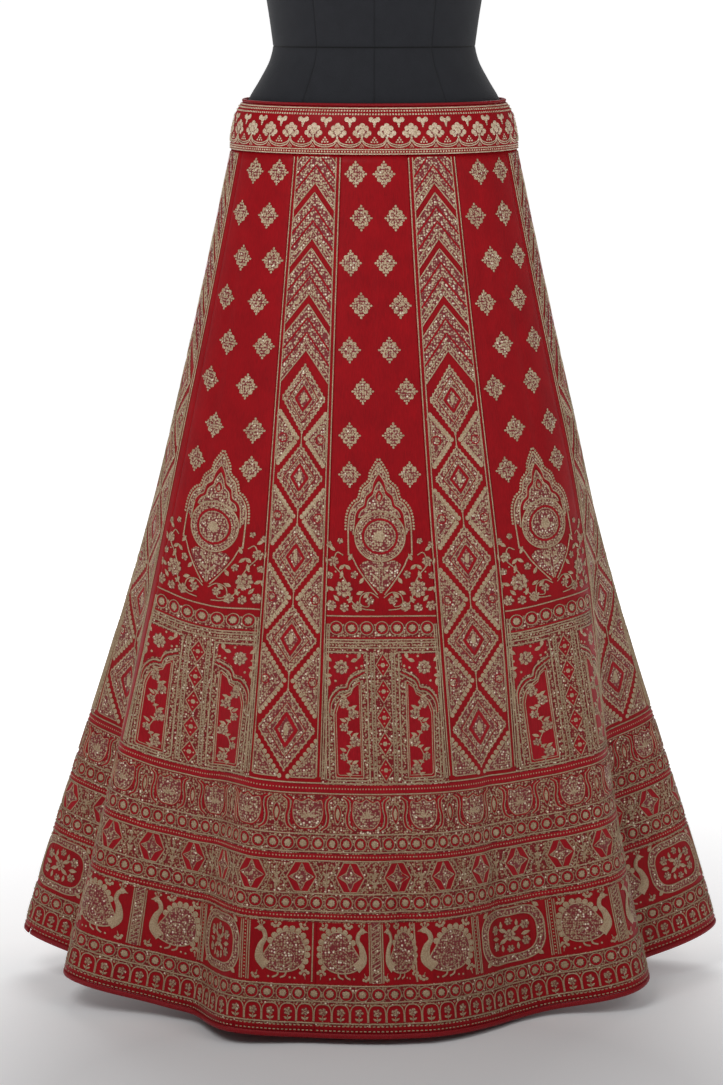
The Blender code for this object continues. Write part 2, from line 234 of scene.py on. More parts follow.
# Borders round the hem: middle of each as a distance down, its repeat, and where one repeat stands
LOTUS_DOWN, LOTUS_PITCH, LOTUS_FROM = 743.0, 74.2, -27.0
HEXAGON_DOWN, HEXAGON_PITCH, HEXAGON_FROM = 815.0, 58.2, -48.0
SPOTS_DOWN, SPOT_PITCH = (777.2, 843.9, 946.2), 17.7
FIGURES_DOWN = 899.0
ARCHES_DOWN, ARCHES_PITCH = 967.4, 19.5
LINES_DOWN = (709.6, 721.2, 766.6, 786.6, 796.6, 833.5, 853.4, 863.6, 936.8, 954.9, 979.3)
DOTTED_DOWN = (715.4, 791.9, 858.6)
DASHED_DOWN = (982.2, 987.6)
RED_DOWN = ((711.2, 719.8), (789.0, 795.0), (856.0, 861.2))
BORDER_ROW, FRONT_SHARE = 0.906, 0.5
BIRD_FAN = (
    (-17, -16), (-18, -6), (-12, 4), (-6, 14), (3, 20), (14, 19), (22, 12), (25, 2), (24, -9), (18, -17), (8, -21),
    (-6, -21),
)
BIRD_RIM = ((-11, 10), (-4, 18.5), (6, 23), (16, 21.5), (24, 14), (27.5, 3), (26.5, -8), (22, -16))
CARTOUCHE = (
    (0, 31), (20, 31), (33, 26), (40, 14), (41, 0), (40, -14), (33, -26), (20, -31), (0, -31), (-20, -31), (-33, -26),
    (-40, -14), (-41, 0), (-40, 14), (-33, 26), (-20, 31),
)

# Stitched zones down the cloth: where each starts, and whether it is filled
WIDE_ZONES = (
    (0.0, 0.0), (0.534, 1.0), (0.7175, 0.0), (0.7278, 1.0), (0.7973, 0.0), (0.803, 1.0), (0.865, 0.0), (0.870, 1.0),
    (0.8725, 0.0), (0.944, 1.0), (0.9667, 0.0), (0.988, 1.0), (0.99, 0.0),
)
NARROW_ZONES = (WIDE_ZONES[0], *WIDE_ZONES[3:])

# Figures of the widest border: kind, distance round from the front, width share (negative faces right)
FRONT_FIGURES = (
    ("cartouche", -556.0, 1.0),
    ("parting", -507.0, 1.0),
    ("bird", -468.0, 1.0),
    ("line", -430.0, 1.0),
    ("bird", -392.0, -1.05),
    ("pillar", -345.0, 1.0),
    ("bird", -299.0, 1.05),
    ("parting", -261.0, 1.0),
    ("cartouche", -214.0, 0.95),
    ("parting", -168.0, 1.0),
    ("bird", -127.0, 1.0),
    ("line", -91.0, 1.0),
    ("bird", -56.0, -0.9),
    ("pillar", -19.0, 1.0),
    ("bird", 9.0, 0.6),
    ("line", 27.0, 1.0),
    ("bird", 65.0, 1.12),
    ("parting", 108.0, 1.0),
    ("cartouche", 165.0, 1.15),
    ("parting", 222.0, 1.0),
    ("bird", 261.0, -1.05),
    ("pillar", 303.0, 1.0),
    ("bird", 345.0, 1.0),
    ("parting", 382.0, 1.0),
    ("bird", 417.0, -1.0),
    ("cartouche", 490.0, 0.95),
)
BACK_FIGURES = (534.0, 1551.0)
FIGURE_ORDER = (
    # kind, room, width share
    ("parting", 12.0, 1.0),
    ("bird", 60.0, 1.0),
    ("line", 6.0, 1.0),
    ("bird", 60.0, -1.0),
    ("pillar", 20.0, 1.0),
    ("bird", 60.0, 1.0),
    ("parting", 12.0, 1.0),
    ("cartouche", 86.0, 1.0),
)
FIGURE_REPEATS = 3

# The studio's floor: plain grey in the skirt's shadow, and paler further off, where the floor glows as painted light so
# that it reads white (distances in 4 m)
FLOOR_REACH, SHADOW_MIDDLE = 160.0, (0.0, -0.5, 0.0)
PAPER_GLOW = ((0.09, 0.0), (0.20, 0.36), (0.60, 0.86))
PAPER_TONE = ((0.09, 0.0), (0.20, 1.0))
PAPER_FRONT = (0.82, 0.82, 0.83, 1.0)

# Which wide kalis are drawn the other way round, and which kalis are on the front length of the waistband
MIRRORED = ("kali_A1_left", "kali_A1_right", "kali_A3_right", "kali_A3_left")
FRONT_SIDE = tuple(number <= 6 for number in range(14))
BAND_SIDES = (("front", -94.0, 93.0), ("back", 93.0, 266.0))
BAND_UNIT = 27.9
PIPING_RADIUS = 0.0018
# The hem binding's stated width and thickness
BINDING_HEIGHT, BINDING_THICK = 0.0062, 0.0034
PLACKET_ROWS = 19

# Dress form, as the solid has it
TORSO = (
    # height, half width, half depth, forward
    (0.8000, 0.108, 0.076, 0.0), (0.8040, 0.132, 0.094, 0.0), (0.8180, 0.150, 0.107, 0.0),
    (0.8500, 0.1580, 0.1125, 0.0), (0.9200, 0.1615, 0.1160, 0.0), (0.9900, 0.1608, 0.1155, 0.0),
    (1.0050, 0.1600, 0.1154, 0.0), (1.0200, 0.1565, 0.1120, 0.0), (1.0360, 0.1510, 0.1070, 0.0),
    (1.0520, 0.1445, 0.1005, 0.0), (1.0750, 0.1310, 0.0925, 0.001), (1.0980, 0.1195, 0.0868, 0.003),
    (1.1120, 0.1165, 0.0855, 0.004), (1.1260, 0.1180, 0.0870, 0.005), (1.1640, 0.1235, 0.0930, 0.008),
    (1.2150, 0.1330, 0.1035, 0.014), (1.2600, 0.1425, 0.1160, 0.021), (1.2950, 0.1480, 0.1200, 0.023),
    (1.3350, 0.1500, 0.1100, 0.016), (1.3800, 0.1520, 0.0930, 0.004), (1.4150, 0.1580, 0.0800, -0.006),
    (1.4400, 0.1560, 0.0720, -0.010), (1.4620, 0.1320, 0.0650, -0.012), (1.4780, 0.0960, 0.0600, -0.012),
    (1.4900, 0.0680, 0.0560, -0.011), (1.5050, 0.0560, 0.0520, -0.009), (1.5350, 0.0520, 0.0500, -0.005),
)
TORSO_SEAMS = (0, 34, 90, 148, 180, 212, 270, 326)
TORSO_SEAM_DEGREES, UPRIGHT_SEAM_SHADE = 0.5, 0.4
WAIST_SEAM, WAIST_SEAM_WIDE = 1.112, 0.0010


def smooth_step(share):
    share = np.clip(share, 0.0, 1.0)
    return share * share * (3.0 - 2.0 * share)


def unit(vectors):
    return vectors / np.linalg.norm(vectors, axis=-1, keepdims=True)


def flare(share):
    return (share + FLARE_CURVE * share * share) / (1.0 + FLARE_CURVE)


def fold_out(angle, share):
    """Distance out of the oval: each fold grows by itself down the cloth, and half cosine waves join them."""
    places, outs, starts = np.array(FOLDS).T
    places = np.radians(np.append(places, places[0] + 360))
    turned = (angle - places[0]) % (2 * math.pi) + places[0]
    low = np.clip(np.searchsorted(places, turned, side="right") - 1, 0, len(FOLDS) - 1)
    high = (low + 1) % len(FOLDS)
    along = (turned - places[low]) / (places[low + 1] - places[low])
    weight = (1.0 - np.cos(math.pi * along)) / 2.0
    grown = [outs[i] * smooth_step((share - starts[i]) / (1.0 - starts[i])) for i in (low, high)]
    return grown[0] * (1.0 - weight) + grown[1] * weight


def plan(angle, share):
    """Points on the skirt's outline in plan: an oval that widens down the cloth, moved out by the folds."""
    half_width = TOP_HALF_WIDTH + (HEM_HALF_WIDTH - TOP_HALF_WIDTH) * flare(share)
    half_depth = TOP_HALF_DEPTH + (HEM_HALF_DEPTH - TOP_HALF_DEPTH) * flare(share)
    out = unit(np.stack([np.sin(angle) / half_width, -np.cos(angle) / half_depth], axis=-1))
    oval = np.stack([half_width * np.sin(angle), -half_depth * np.cos(angle)], axis=-1)
    return oval + out * fold_out(angle, share)[..., None]


def band_low(angle):
    return BAND_LOW_SIDE - BAND_FRONT_DIP * (1.0 + np.cos(angle)) / 2.0


def spread_across(start, end, share, across):
    """Angles at the given shares of the cloth's width between two seams, and that width."""
    dense = np.linspace(start, end, DENSE)
    steps = np.linalg.norm(np.diff(plan(dense, np.full(DENSE, share)), axis=0), axis=1)
    length = np.concatenate([[0.0], np.cumsum(steps)])
    return np.interp(across * length[-1], length, dense), length[-1]


def column_shares():
    """Shares of a kali's width for its columns, closer together beside the seams."""
    inner = np.linspace(0.07, 0.93, COLUMNS - 5)
    return np.concatenate([[0.0, 0.012, 0.035], inner, [0.965, 0.988, 1.0]])


def kali_surface(number, crease):
    """(points, normals, widths) of one kali: lines down the cloth keep their length, and then its creases and the
    dip beside each seam move each point along the normal."""
    before = FIRST_SEAM if number == 0 else KALIS[number - 1][2:4]
    (top_start, top_end), (hem_start, hem_end) = np.radians([before, KALIS[number][2:4]]).T
    shares, across = np.linspace(0.0, 1.0, ROWS + 1), column_shares()
    angles, widths = np.empty((ROWS + 1, len(across))), np.empty(ROWS + 1)
    for row, share in enumerate(shares):
        start = top_start + (hem_start - top_start) * share
        end = top_end + (hem_end - top_end) * share
        widths[row] = spread_across(start, end, share, across)[1]
        inset = SEAM_OPEN / 2 / widths[row]
        angles[row] = spread_across(start, end, share, inset + (1 - 2 * inset) * across)[0]
    depth = shares[:, None] + 0 * angles
    flat = plan(angles, depth)
    spread = np.linalg.norm(flat[-1] - flat[0], axis=-1)
    length = KALI_LENGTH - HIP_TAKE_UP * np.sin(angles[0]) ** 4
    heights = band_low(angles[0]) - depth * np.sqrt(length**2 - spread**2)
    points = np.concatenate([flat, heights[..., None]], axis=-1)
    normals = grid_normals(points, angles, depth)
    from_seam = np.minimum(across, 1 - across)[None, :] * widths[:, None]
    plain = 1 - smooth_step((shares[:, None] - BORDER_FROM) / 0.04)
    move = -SEAM_DIP * plain * np.exp(-((from_seam / SEAM_ROLL) ** 2))
    for place, start, end, width, deep in CREASES:
        if not number - 0.5 <= place <= number + 1.5:
            continue
        aside = (number + across[None, :] - place) * widths[:, None]
        run = smooth_step((shares - start) / 0.15) * smooth_step((end - shares) / 0.15)
        move = move - crease * deep * run[:, None] * np.exp(-((aside / width) ** 2))
    points = points + normals * move[..., None]
    return points, grid_normals(points, angles, depth, points), widths


def grid_normals(points, angles, depth, moved=None):
    """Outward normals: across the level line, from the plan or the moved points, and down the cloth."""
    if moved is None:
        level = plan(angles + 1e-4, depth) - plan(angles - 1e-4, depth)
        level = np.concatenate([level, np.zeros_like(depth)[..., None]], axis=-1)
    else:
        level = np.gradient(moved, axis=1)
        level[:, 0], level[:, -1] = moved[:, 2] - moved[:, 0], moved[:, -1] - moved[:, -3]
    return unit(np.cross(np.gradient(points, axis=0), level))


class Skirt:
    """Every kali's points, normals and widths, for laying flat shapes on the cloth."""

    def __init__(self, crease):
        made = [kali_surface(number, crease) for number in range(len(KALIS))]
        self.points = np.array([surface[0] for surface in made])
        self.normals = np.array([surface[1] for surface in made])
        self.widths = np.array([surface[2] for surface in made])
        self.across = column_shares()
        row = round(BORDER_ROW * ROWS)
        self.around = np.concatenate([[0.0], np.cumsum(self.widths[:, row])])
        self.front = self.around[FRONT_KALI] + self.widths[FRONT_KALI, row] * FRONT_SHARE

    def half(self, number, down):
        """Half a kali's width at distances down, both in millimetres."""
        return np.interp(down, np.linspace(0, KALI_LENGTH / MM, ROWS + 1), self.widths[number] / MM / 2)

    def fitted(self, pitch):
        """The repeat nearest to this one that goes round the hem a whole number of times, in millimetres."""
        whole = self.around[-1] / MM
        return whole / round(whole / pitch)

    def at(self, place, down, lift):
        """World points at a place (kali number and share across), a share of the length down, and a lift."""
        place = np.mod(place, len(KALIS))
        number = np.minimum(place.astype(int), len(KALIS) - 1)
        share = place - number
        column = np.clip(np.searchsorted(self.across, share, side="right") - 1, 0, len(self.across) - 2)
        right = (share - self.across[column]) / (self.across[column + 1] - self.across[column])
        depth = np.clip(down, 0.0, 1.0) * ROWS
        row = np.minimum(depth.astype(int), ROWS - 1)
        low = depth - row
        found = []
        for table in (self.points, self.normals):
            upper = table[number, row, column] * (1 - right)[:, None]
            upper = upper + table[number, row, column + 1] * right[:, None]
            lower = table[number, row + 1, column] * (1 - right)[:, None]
            lower = lower + table[number, row + 1, column + 1] * right[:, None]
            found.append(upper * (1 - low)[:, None] + lower * low[:, None])
        return found[0] + unit(found[1]) * lift[:, None]

    def on_kali(self, number, made):
        """A flat shape on one kali: x from its middle line, stretched to its width, and y up from the waist seam."""
        points, faces = facing_up(made)
        points = points * MM
        depth = -points[:, 1] / KALI_LENGTH
        cut = KALIS[number][1]
        model = number if number in OWN_WIDTH else FRONT_KALI if cut == "A" else NARROW_KALI
        width = np.interp(depth, np.linspace(0, 1, ROWS + 1), self.widths[model])
        share = KALIS[number][4] + points[:, 0] / width
        return self.at(number + share, depth, points[:, 2]), faces

    def round_hem(self, made):
        """A flat shape on the borders: x round from the middle of the front, and y up from the waist seam."""
        points, faces = facing_up(made)
        points = points * MM
        travel = np.mod(self.front + points[:, 0], self.around[-1])
        found = np.interp(travel, self.around, np.arange(len(KALIS) + 1))
        return self.at(found, -points[:, 1] / KALI_LENGTH, points[:, 2]), faces


# Flat shapes: points (x, y, lift) and triangles, anticlockwise from above


def facing_up(made):
    """The shape with every triangle anticlockwise from above."""
    points, faces = made
    a, b, c = (points[faces[:, i], :2] for i in range(3))
    ab, ac = b - a, c - a
    turned = ab[:, 0] * ac[:, 1] - ab[:, 1] * ac[:, 0] < 0
    return points, np.where(turned[:, None], faces[:, ::-1], faces)


def join(shapes):
    """Several shapes as one."""
    points, faces, base = [], [], 0
    for made in shapes:
        points.append(made[0])
        faces.append(made[1] + base)
        base += len(made[0])
    return np.concatenate(points), np.concatenate(faces)


def place(made, at, turn=0.0, size=1.0):
    """Copies of a shape at each place, each turned and sized."""
    at = np.atleast_2d(np.asarray(at, float))
    turn, size = np.broadcast_to(turn, len(at)), np.broadcast_to(size, len(at))
    along, aside = np.cos(turn) * size, np.sin(turn) * size
    points, faces = made
    right = along[:, None] * points[:, 0] - aside[:, None] * points[:, 1] + at[:, 0, None]
    up = aside[:, None] * points[:, 0] + along[:, None] * points[:, 1] + at[:, 1, None]
    lift = np.broadcast_to(points[:, 2], right.shape)
    base = np.arange(len(at))[:, None, None] * len(points)
    return np.stack([right, up, lift], axis=-1).reshape(-1, 3), (faces[None] + base).reshape(-1, 3)


def mirror(made):
    points, faces = made
    return points * (-1, 1, 1), faces[:, ::-1]


def both_sides(made):
    return join([made, mirror(made)])


def smooth(points, count, closed=False):
    """Evenly spread points along the rounded line through the given ones (a Catmull-Rom line)."""
    given = np.asarray(points, float)
    ends = (given[-1:], given[:2]) if closed else (2 * given[:1] - given[1:2], 2 * given[-1:] - given[-2:-1])
    row = np.concatenate([ends[0], given, ends[1]])
    a, b, c, d = row[:-3], row[1:-2], row[2:-1], row[3:]
    t = np.linspace(0, 1, 12, endpoint=False)[None, :, None]
    a, b, c, d = (part[:, None] for part in (a, b, c, d))
    line = 0.5 * (2 * b + (c - a) * t + (2 * a - 5 * b + 4 * c - d) * t**2 + (3 * b - a - 3 * c + d) * t**3)
    line = np.concatenate([line.reshape(-1, 2), given[:1] if closed else given[-1:]])
    return even(line, count, closed)


def even(line, count, closed=False):
    """Points at even distances along a line of straight steps."""
    line = np.asarray(line, float)
    length = np.concatenate([[0.0], np.cumsum(np.linalg.norm(np.diff(line, axis=0), axis=1))])
    wanted = np.linspace(0, length[-1], count, endpoint=not closed)
    return np.stack([np.interp(wanted, length, line[:, i]) for i in (0, 1)], axis=-1)


def ribbon(path, half=LINE_HALF, lift=THREAD_LIFT, crown=THREAD_CROWN, columns=2, closed=False):
    """A strip along a path, crowned in its middle, with a half width for all of it or for each point."""
    path = np.asarray(path, float)
    if closed:
        along = np.roll(path, -1, axis=0) - np.roll(path, 1, axis=0)
    else:
        along = np.gradient(path, axis=0)
    left = unit(along)[:, ::-1] * (-1, 1)
    across = np.linspace(-1, 1, columns + 1)
    half = np.broadcast_to(half, len(path))
    flat = path[:, None] + left[:, None] * (across[None, :] * half[:, None])[..., None]
    rise = np.broadcast_to(lift + (crown - lift) * (1 - across**2), flat.shape[:2])
    index = np.arange(len(path) * (columns + 1)).reshape(len(path), columns + 1)
    after = np.roll(index, -1, axis=0) if closed else index[1:]
    here = index if closed else index[:-1]
    quads = np.stack([here[:, :-1], after[:, :-1], after[:, 1:], here[:, 1:]], axis=-1).reshape(-1, 4)
    points = np.concatenate([flat, rise[..., None]], axis=-1).reshape(-1, 3)
    return points, np.concatenate([quads[:, :3], quads[:, [0, 2, 3]]])


def blob(outline, lift=THREAD_LIFT, crown=THREAD_CROWN):
    """A raised patch inside an outline that its middle can see."""
    outline = np.asarray(outline, float)
    count = len(outline)
    points = np.vstack([np.column_stack([outline, np.full(count, lift)]), [*outline.mean(axis=0), crown]])
    index = np.arange(count)
    return points, np.stack([index, np.roll(index, -1), np.full(count, count)], axis=-1)


def circle(radius, sides, wave=0.0, petals=1, turn=0.0):
    """Points round a circle, its radius waved by a number of petals."""
    angle = np.linspace(0, 2 * math.pi, sides, endpoint=False) + turn
    reach = radius * (1 - wave + wave * np.abs(np.cos(petals * (angle - turn) / 2)))
    return np.stack([reach * np.cos(angle), reach * np.sin(angle)], axis=-1)


def beads(line, radius=BEAD, pitch=None, sides=6):
    """Round stitches side by side along a line."""
    pitch = pitch or radius * 2.25
    line = np.asarray(line, float)
    length = np.linalg.norm(np.diff(line, axis=0), axis=1).sum()
    at = even(line, max(2, round(length / pitch) + 1))
    return place(blob(circle(1.0, sides)), at, size=radius)


def dashes(line, pitch=4.0, share=0.55, half=0.6):
    """Short stitches end to end along a line."""
    line = np.asarray(line, float)
    length = np.linalg.norm(np.diff(line, axis=0), axis=1).sum()
    count = max(1, round(length / pitch))
    ends = even(line, 2 * count + 1)
    middles, turns = ends[1::2], ends[2::2] - ends[:-2:2]
    stitch = blob([(-1, -1), (1, -1), (1, 1), (-1, 1)])
    points, faces = stitch
    points = points * (pitch * share / 2, half, 1)
    return place((points, faces), middles, np.arctan2(turns[:, 1], turns[:, 0]))


def flower(radius, petals=8, heart=0.32):
    """A rosette: a ring of petals and a round heart."""
    ring = blob(circle(radius, petals * 3, 0.34, petals))
    return join([ring, blob(circle(radius * heart, 6), THREAD_CROWN, THREAD_CROWN * 1.5)])


def leaf(length, width):
    """A pointed leaf from the origin upwards."""
    path = np.column_stack([np.zeros(5), np.linspace(0, length, 5)])
    return ribbon(path, width / 2 * np.array([0.15, 0.85, 1.0, 0.6, 0.05]))


def ground(outline_left, outline_right, lift, columns=6):
    """A patch of flat stitching between two side lines of equally many points."""
    left, right = np.asarray(outline_left, float), np.asarray(outline_right, float)
    across = np.linspace(0, 1, columns + 1)[None, :, None]
    flat = left[:, None] * (1 - across) + right[:, None] * across
    index = np.arange(flat.shape[0] * (columns + 1)).reshape(flat.shape[:2])
    quads = np.stack([index[1:, :-1], index[1:, 1:], index[:-1, 1:], index[:-1, :-1]], axis=-1).reshape(-1, 4)
    points = np.concatenate([flat, np.full((*flat.shape[:2], 1), lift)], axis=-1).reshape(-1, 3)
    return points, np.concatenate([quads[:, :3], quads[:, [0, 2, 3]]])


def box_ground(left, right, top, bottom, lift, rows=6, columns=6):
    """A flat rectangle of stitching."""
    up = np.linspace(top, bottom, rows + 1)
    return ground(np.column_stack([up * 0 + left, up]), np.column_stack([up * 0 + right, up]), lift, columns)


# Drawings, in millimetres: x from a middle line, y up


class Work:
    """The gold, red and filled shapes of one drawing, flat."""

    def __init__(self, gold=(), red=(), fill=()):
        self.layers = {"gold": list(gold), "red": list(red), "fill": list(fill)}

    def add(self, other, at=(0.0, 0.0), turn=0.0, size=1.0, squeeze=1.0):
        """Adds another drawing, turned, sized, narrowed or mirrored (a negative squeeze) and placed."""
        for name, shapes in other.layers.items():
            if shapes:
                points, faces = join(shapes)
                self.layers[name].append(place((points * (squeeze, 1, 1), faces), at, turn, size))
        return self

    def paired(self):
        """The drawing and its mirror image."""
        return Work(**{name: [both_sides(join(shapes))] for name, shapes in self.layers.items() if shapes})


def dots(at, radius=1.1, sides=6):
    """Round stitches at each place."""
    return place(blob(circle(1.0, sides)), at, size=radius)


def patch(outline, lift=FILL_LIFT, crown=FILL_CROWN, rings=3):
    """Padded stitching inside an outline that its middle can see: rings shrink to the middle as the lift rises."""
    outline = np.asarray(outline, float)
    middle, count = outline.mean(axis=0), len(outline)
    shares = np.linspace(1, 0, rings + 1)[:-1, None, None]
    flat = middle + (outline - middle) * shares
    rise = np.broadcast_to(lift + (crown - lift) * (1 - shares[..., 0] ** 2), flat.shape[:2])
    points = np.concatenate([flat, rise[..., None]], axis=-1).reshape(-1, 3)
    points = np.vstack([points, [*middle, crown]])
    index = np.arange(rings * count).reshape(rings, count)
    ahead = np.roll(index, -1, axis=1)
    quads = np.stack([index[:-1], ahead[:-1], ahead[1:], index[1:]], axis=-1).reshape(-1, 4)
    fan = np.stack([index[-1], ahead[-1], np.full(count, rings * count)], axis=-1)
    return points, np.concatenate([quads[:, :3], quads[:, [0, 2, 3]], fan])


def red_line(path, half=1.0, closed=False):
    return ribbon(path, half, RED_LIFT, RED_CROWN, closed=closed)


def lozenge(wide, tall, count=40):
    """Even points round a diamond."""
    return even([(0, tall), (wide, 0), (0, -tall), (-wide, 0), (0, tall)], count, True)


def wide_half(down):
    """Half the width of a wide kali's pattern at distances down, in millimetres."""
    return the_skirt().half(FRONT_KALI, down)


def narrow_half(down):
    return the_skirt().half(NARROW_KALI, down)


def draw_buti():
    """A small filled diamond of round stitches with a bead at each corner."""
    step = np.arange(-3, 4)
    across, up = np.meshgrid(step, step)
    kept = (np.abs(across) + np.abs(up) <= 3) & (np.abs(across) + np.abs(up) >= 1)
    at = np.column_stack([across[kept] * 2.9, up[kept] * 3.5])
    edge = lozenge(11.0, 13.2, 20)
    tips = dots([(11.6, 0), (-11.6, 0), (0, 13.8), (0, -13.8)], 1.3)
    sides = dots([(5.9, 7.0), (-5.9, 7.0), (5.9, -7.0), (-5.9, -7.0)], 1.9)
    gold = [dots(at, 1.2), dots(edge, 1.35), tips, sides, flower(2.6, 6)]
    return Work(gold=gold, fill=[patch(edge, rings=2)])


def draw_bloom(radius, petals=8):
    """A large flower: round filled petals about a gold heart in a ring of beads."""
    turns = np.arange(petals) * 2 * math.pi / petals
    at = np.stack([np.cos(turns), np.sin(turns)], axis=-1) * radius * 0.66
    return Work(
        gold=[
            dots(at, radius * 0.24, 7),
            flower(radius * 0.3, 6),
            ribbon(circle(radius * 0.43, 14), 0.4, closed=True),
        ],
        fill=[patch(circle(radius, petals * 4, 0.22, petals), rings=2)],
    )


def draw_arch():
    """The pointed arch of many curves with its beaded frame, the medallion in it and the stem below."""
    line = smooth(ARCH, 80)
    inner = smooth(ARCH_INNER, 60)
    crown = smooth(ARCH_CROWN, 30)
    stem = [
        (0, -30), (17, -27), (24, -33), (17, -46), (7, -58), (0, -64), (-7, -58), (-17, -46), (-24, -33), (-17, -27)
    ]
    drop = smooth([(0, 11), (4.6, 3), (0, -3), (-4.6, 3)], 20, True)
    frame_fill = ground(even(line[:58], 40) * (-1, 1), even(inner, 40) * (-1, 1), FILL_LIFT, 2)
    return Work(
        gold=[
            both_sides(ribbon(line, 0.85)),
            both_sides(ribbon(inner, 0.7)),
            both_sides(ribbon(crown, 0.7)),
            both_sides(dots(even(line[:60] * (1.045, 1.02) + (1.4, 1.2), 27), 1.5)),
            both_sides(dots(even((line[:56] + even(inner, 56)) / 2, 26), 1.0)),
            ribbon(circle(28.3, 48), 0.85, closed=True),
            ribbon(circle(24.2, 44), 0.5, closed=True),
            dots(circle(26.2, 42), 1.05),
            ribbon(circle(17.0, 32), 0.5, closed=True),
            place(dots(circle(21.6, 24), 1.2), (0, 0)),
            dots(circle(14.0, 20), 1.15),
            flower(10.5, 12, 0.30),
            place(ribbon(drop, 0.6, closed=True), (0, 42)),
            place(blob(drop * 0.5), (0, 42)),
            both_sides(dots([(8, 36), (12.5, 33), (6, 51), (16, 29)], 1.4)),
            both_sides(ribbon(smooth([(1.2, -28), (1.8, -44), (1.0, -64)], 12), 0.5)),
            both_sides(place(leaf(11, 4.6), [(2, -50), (3, -40)], turn=-0.8)),
            both_sides(ribbon(smooth([(36, -19), (31, -25), (25, -37), (14, -53), (4, -66)], 24), 0.75)),
        ],
        red=[
            red_line(circle(19.3, 40), 1.35, True),
            both_sides(red_line(inner[:44] * 0.965 + (0, -1.0), 1.5)),
            place(red_line(drop * 0.78, 1.0, True), (0, 42)),
        ],
        fill=[
            patch(circle(28, 40), rings=4),
            both_sides(frame_fill),
            patch(np.vstack([crown, crown[-2:0:-1] * (-1, 1)]), rings=3),
            patch(even(np.vstack([stem, stem[:1]]), 36, True), rings=3),
        ],
    )


def draw_garden():
    """Creepers, large and small flowers under the arch, then the row of rosettes and its lines."""
    half = Work()
    stem = smooth(GARDEN_STEM, 44)
    scroll = smooth([(3, -500), (12, -494), (22, -497), (24, -507), (15, -510), (13, -503)], 26)
    half.add(Work(gold=[ribbon(stem, 0.65), ribbon(scroll, 0.6), dots(even(stem[6:-6] + (3.2, -1.2), 9), 1.1)]))
    for step, (x, y, radius, petals) in enumerate(GARDEN_FLOWERS):
        half.add(draw_bloom(radius, petals), (x, y), 0.3 * step)
    for x, y, turn in GARDEN_LEAVES:
        half.add(Work(gold=[leaf(9.0, 4.2)]), (x, y), turn)
    work = half.paired()
    work.add(Work(gold=[across_kali(down, wide_half) for down in (520.8, 547.5, 550.5, 556.5)]))
    spots = np.arange(-4, 5) * 17.2
    spots = spots[np.abs(spots) < wide_half(534.3) - 7]
    for x in spots:
        work.add(draw_spot(), (x, -534.3))
    reach = float(wide_half(540)) - 1
    work.add(Work(red=[box_ground(-reach, reach, -544.5, -546.6, INLAY_LIFT, 1, 22)]))
    work.add(Work(gold=[beads([(-reach, -553.6), (reach, -553.6)], 1.0, 3.6)]))
    return work


def across_kali(down, half, width=0.75):
    """A line of thread straight across a kali."""
    reach = float(half(down)) - 0.6
    x = np.linspace(-reach, reach, 30)
    return ribbon(np.column_stack([x, x * 0 - down]), width)


def seam_lines(half, start, stop, insets, strip=None):
    """Lines of thread down both seams of a kali at distances in from it, and a red strip between them."""
    down = np.arange(start, stop, 7.0)
    lines = [both_sides(ribbon(np.column_stack([half(down) - inset, -down]), 0.65)) for inset in insets]
    if strip is None:
        return Work(gold=lines)
    sides = [np.column_stack([half(down) - inset, -down]) for inset in strip]
    return Work(gold=lines, red=[both_sides(ground(sides[1], sides[0], INLAY_LIFT, 1))])


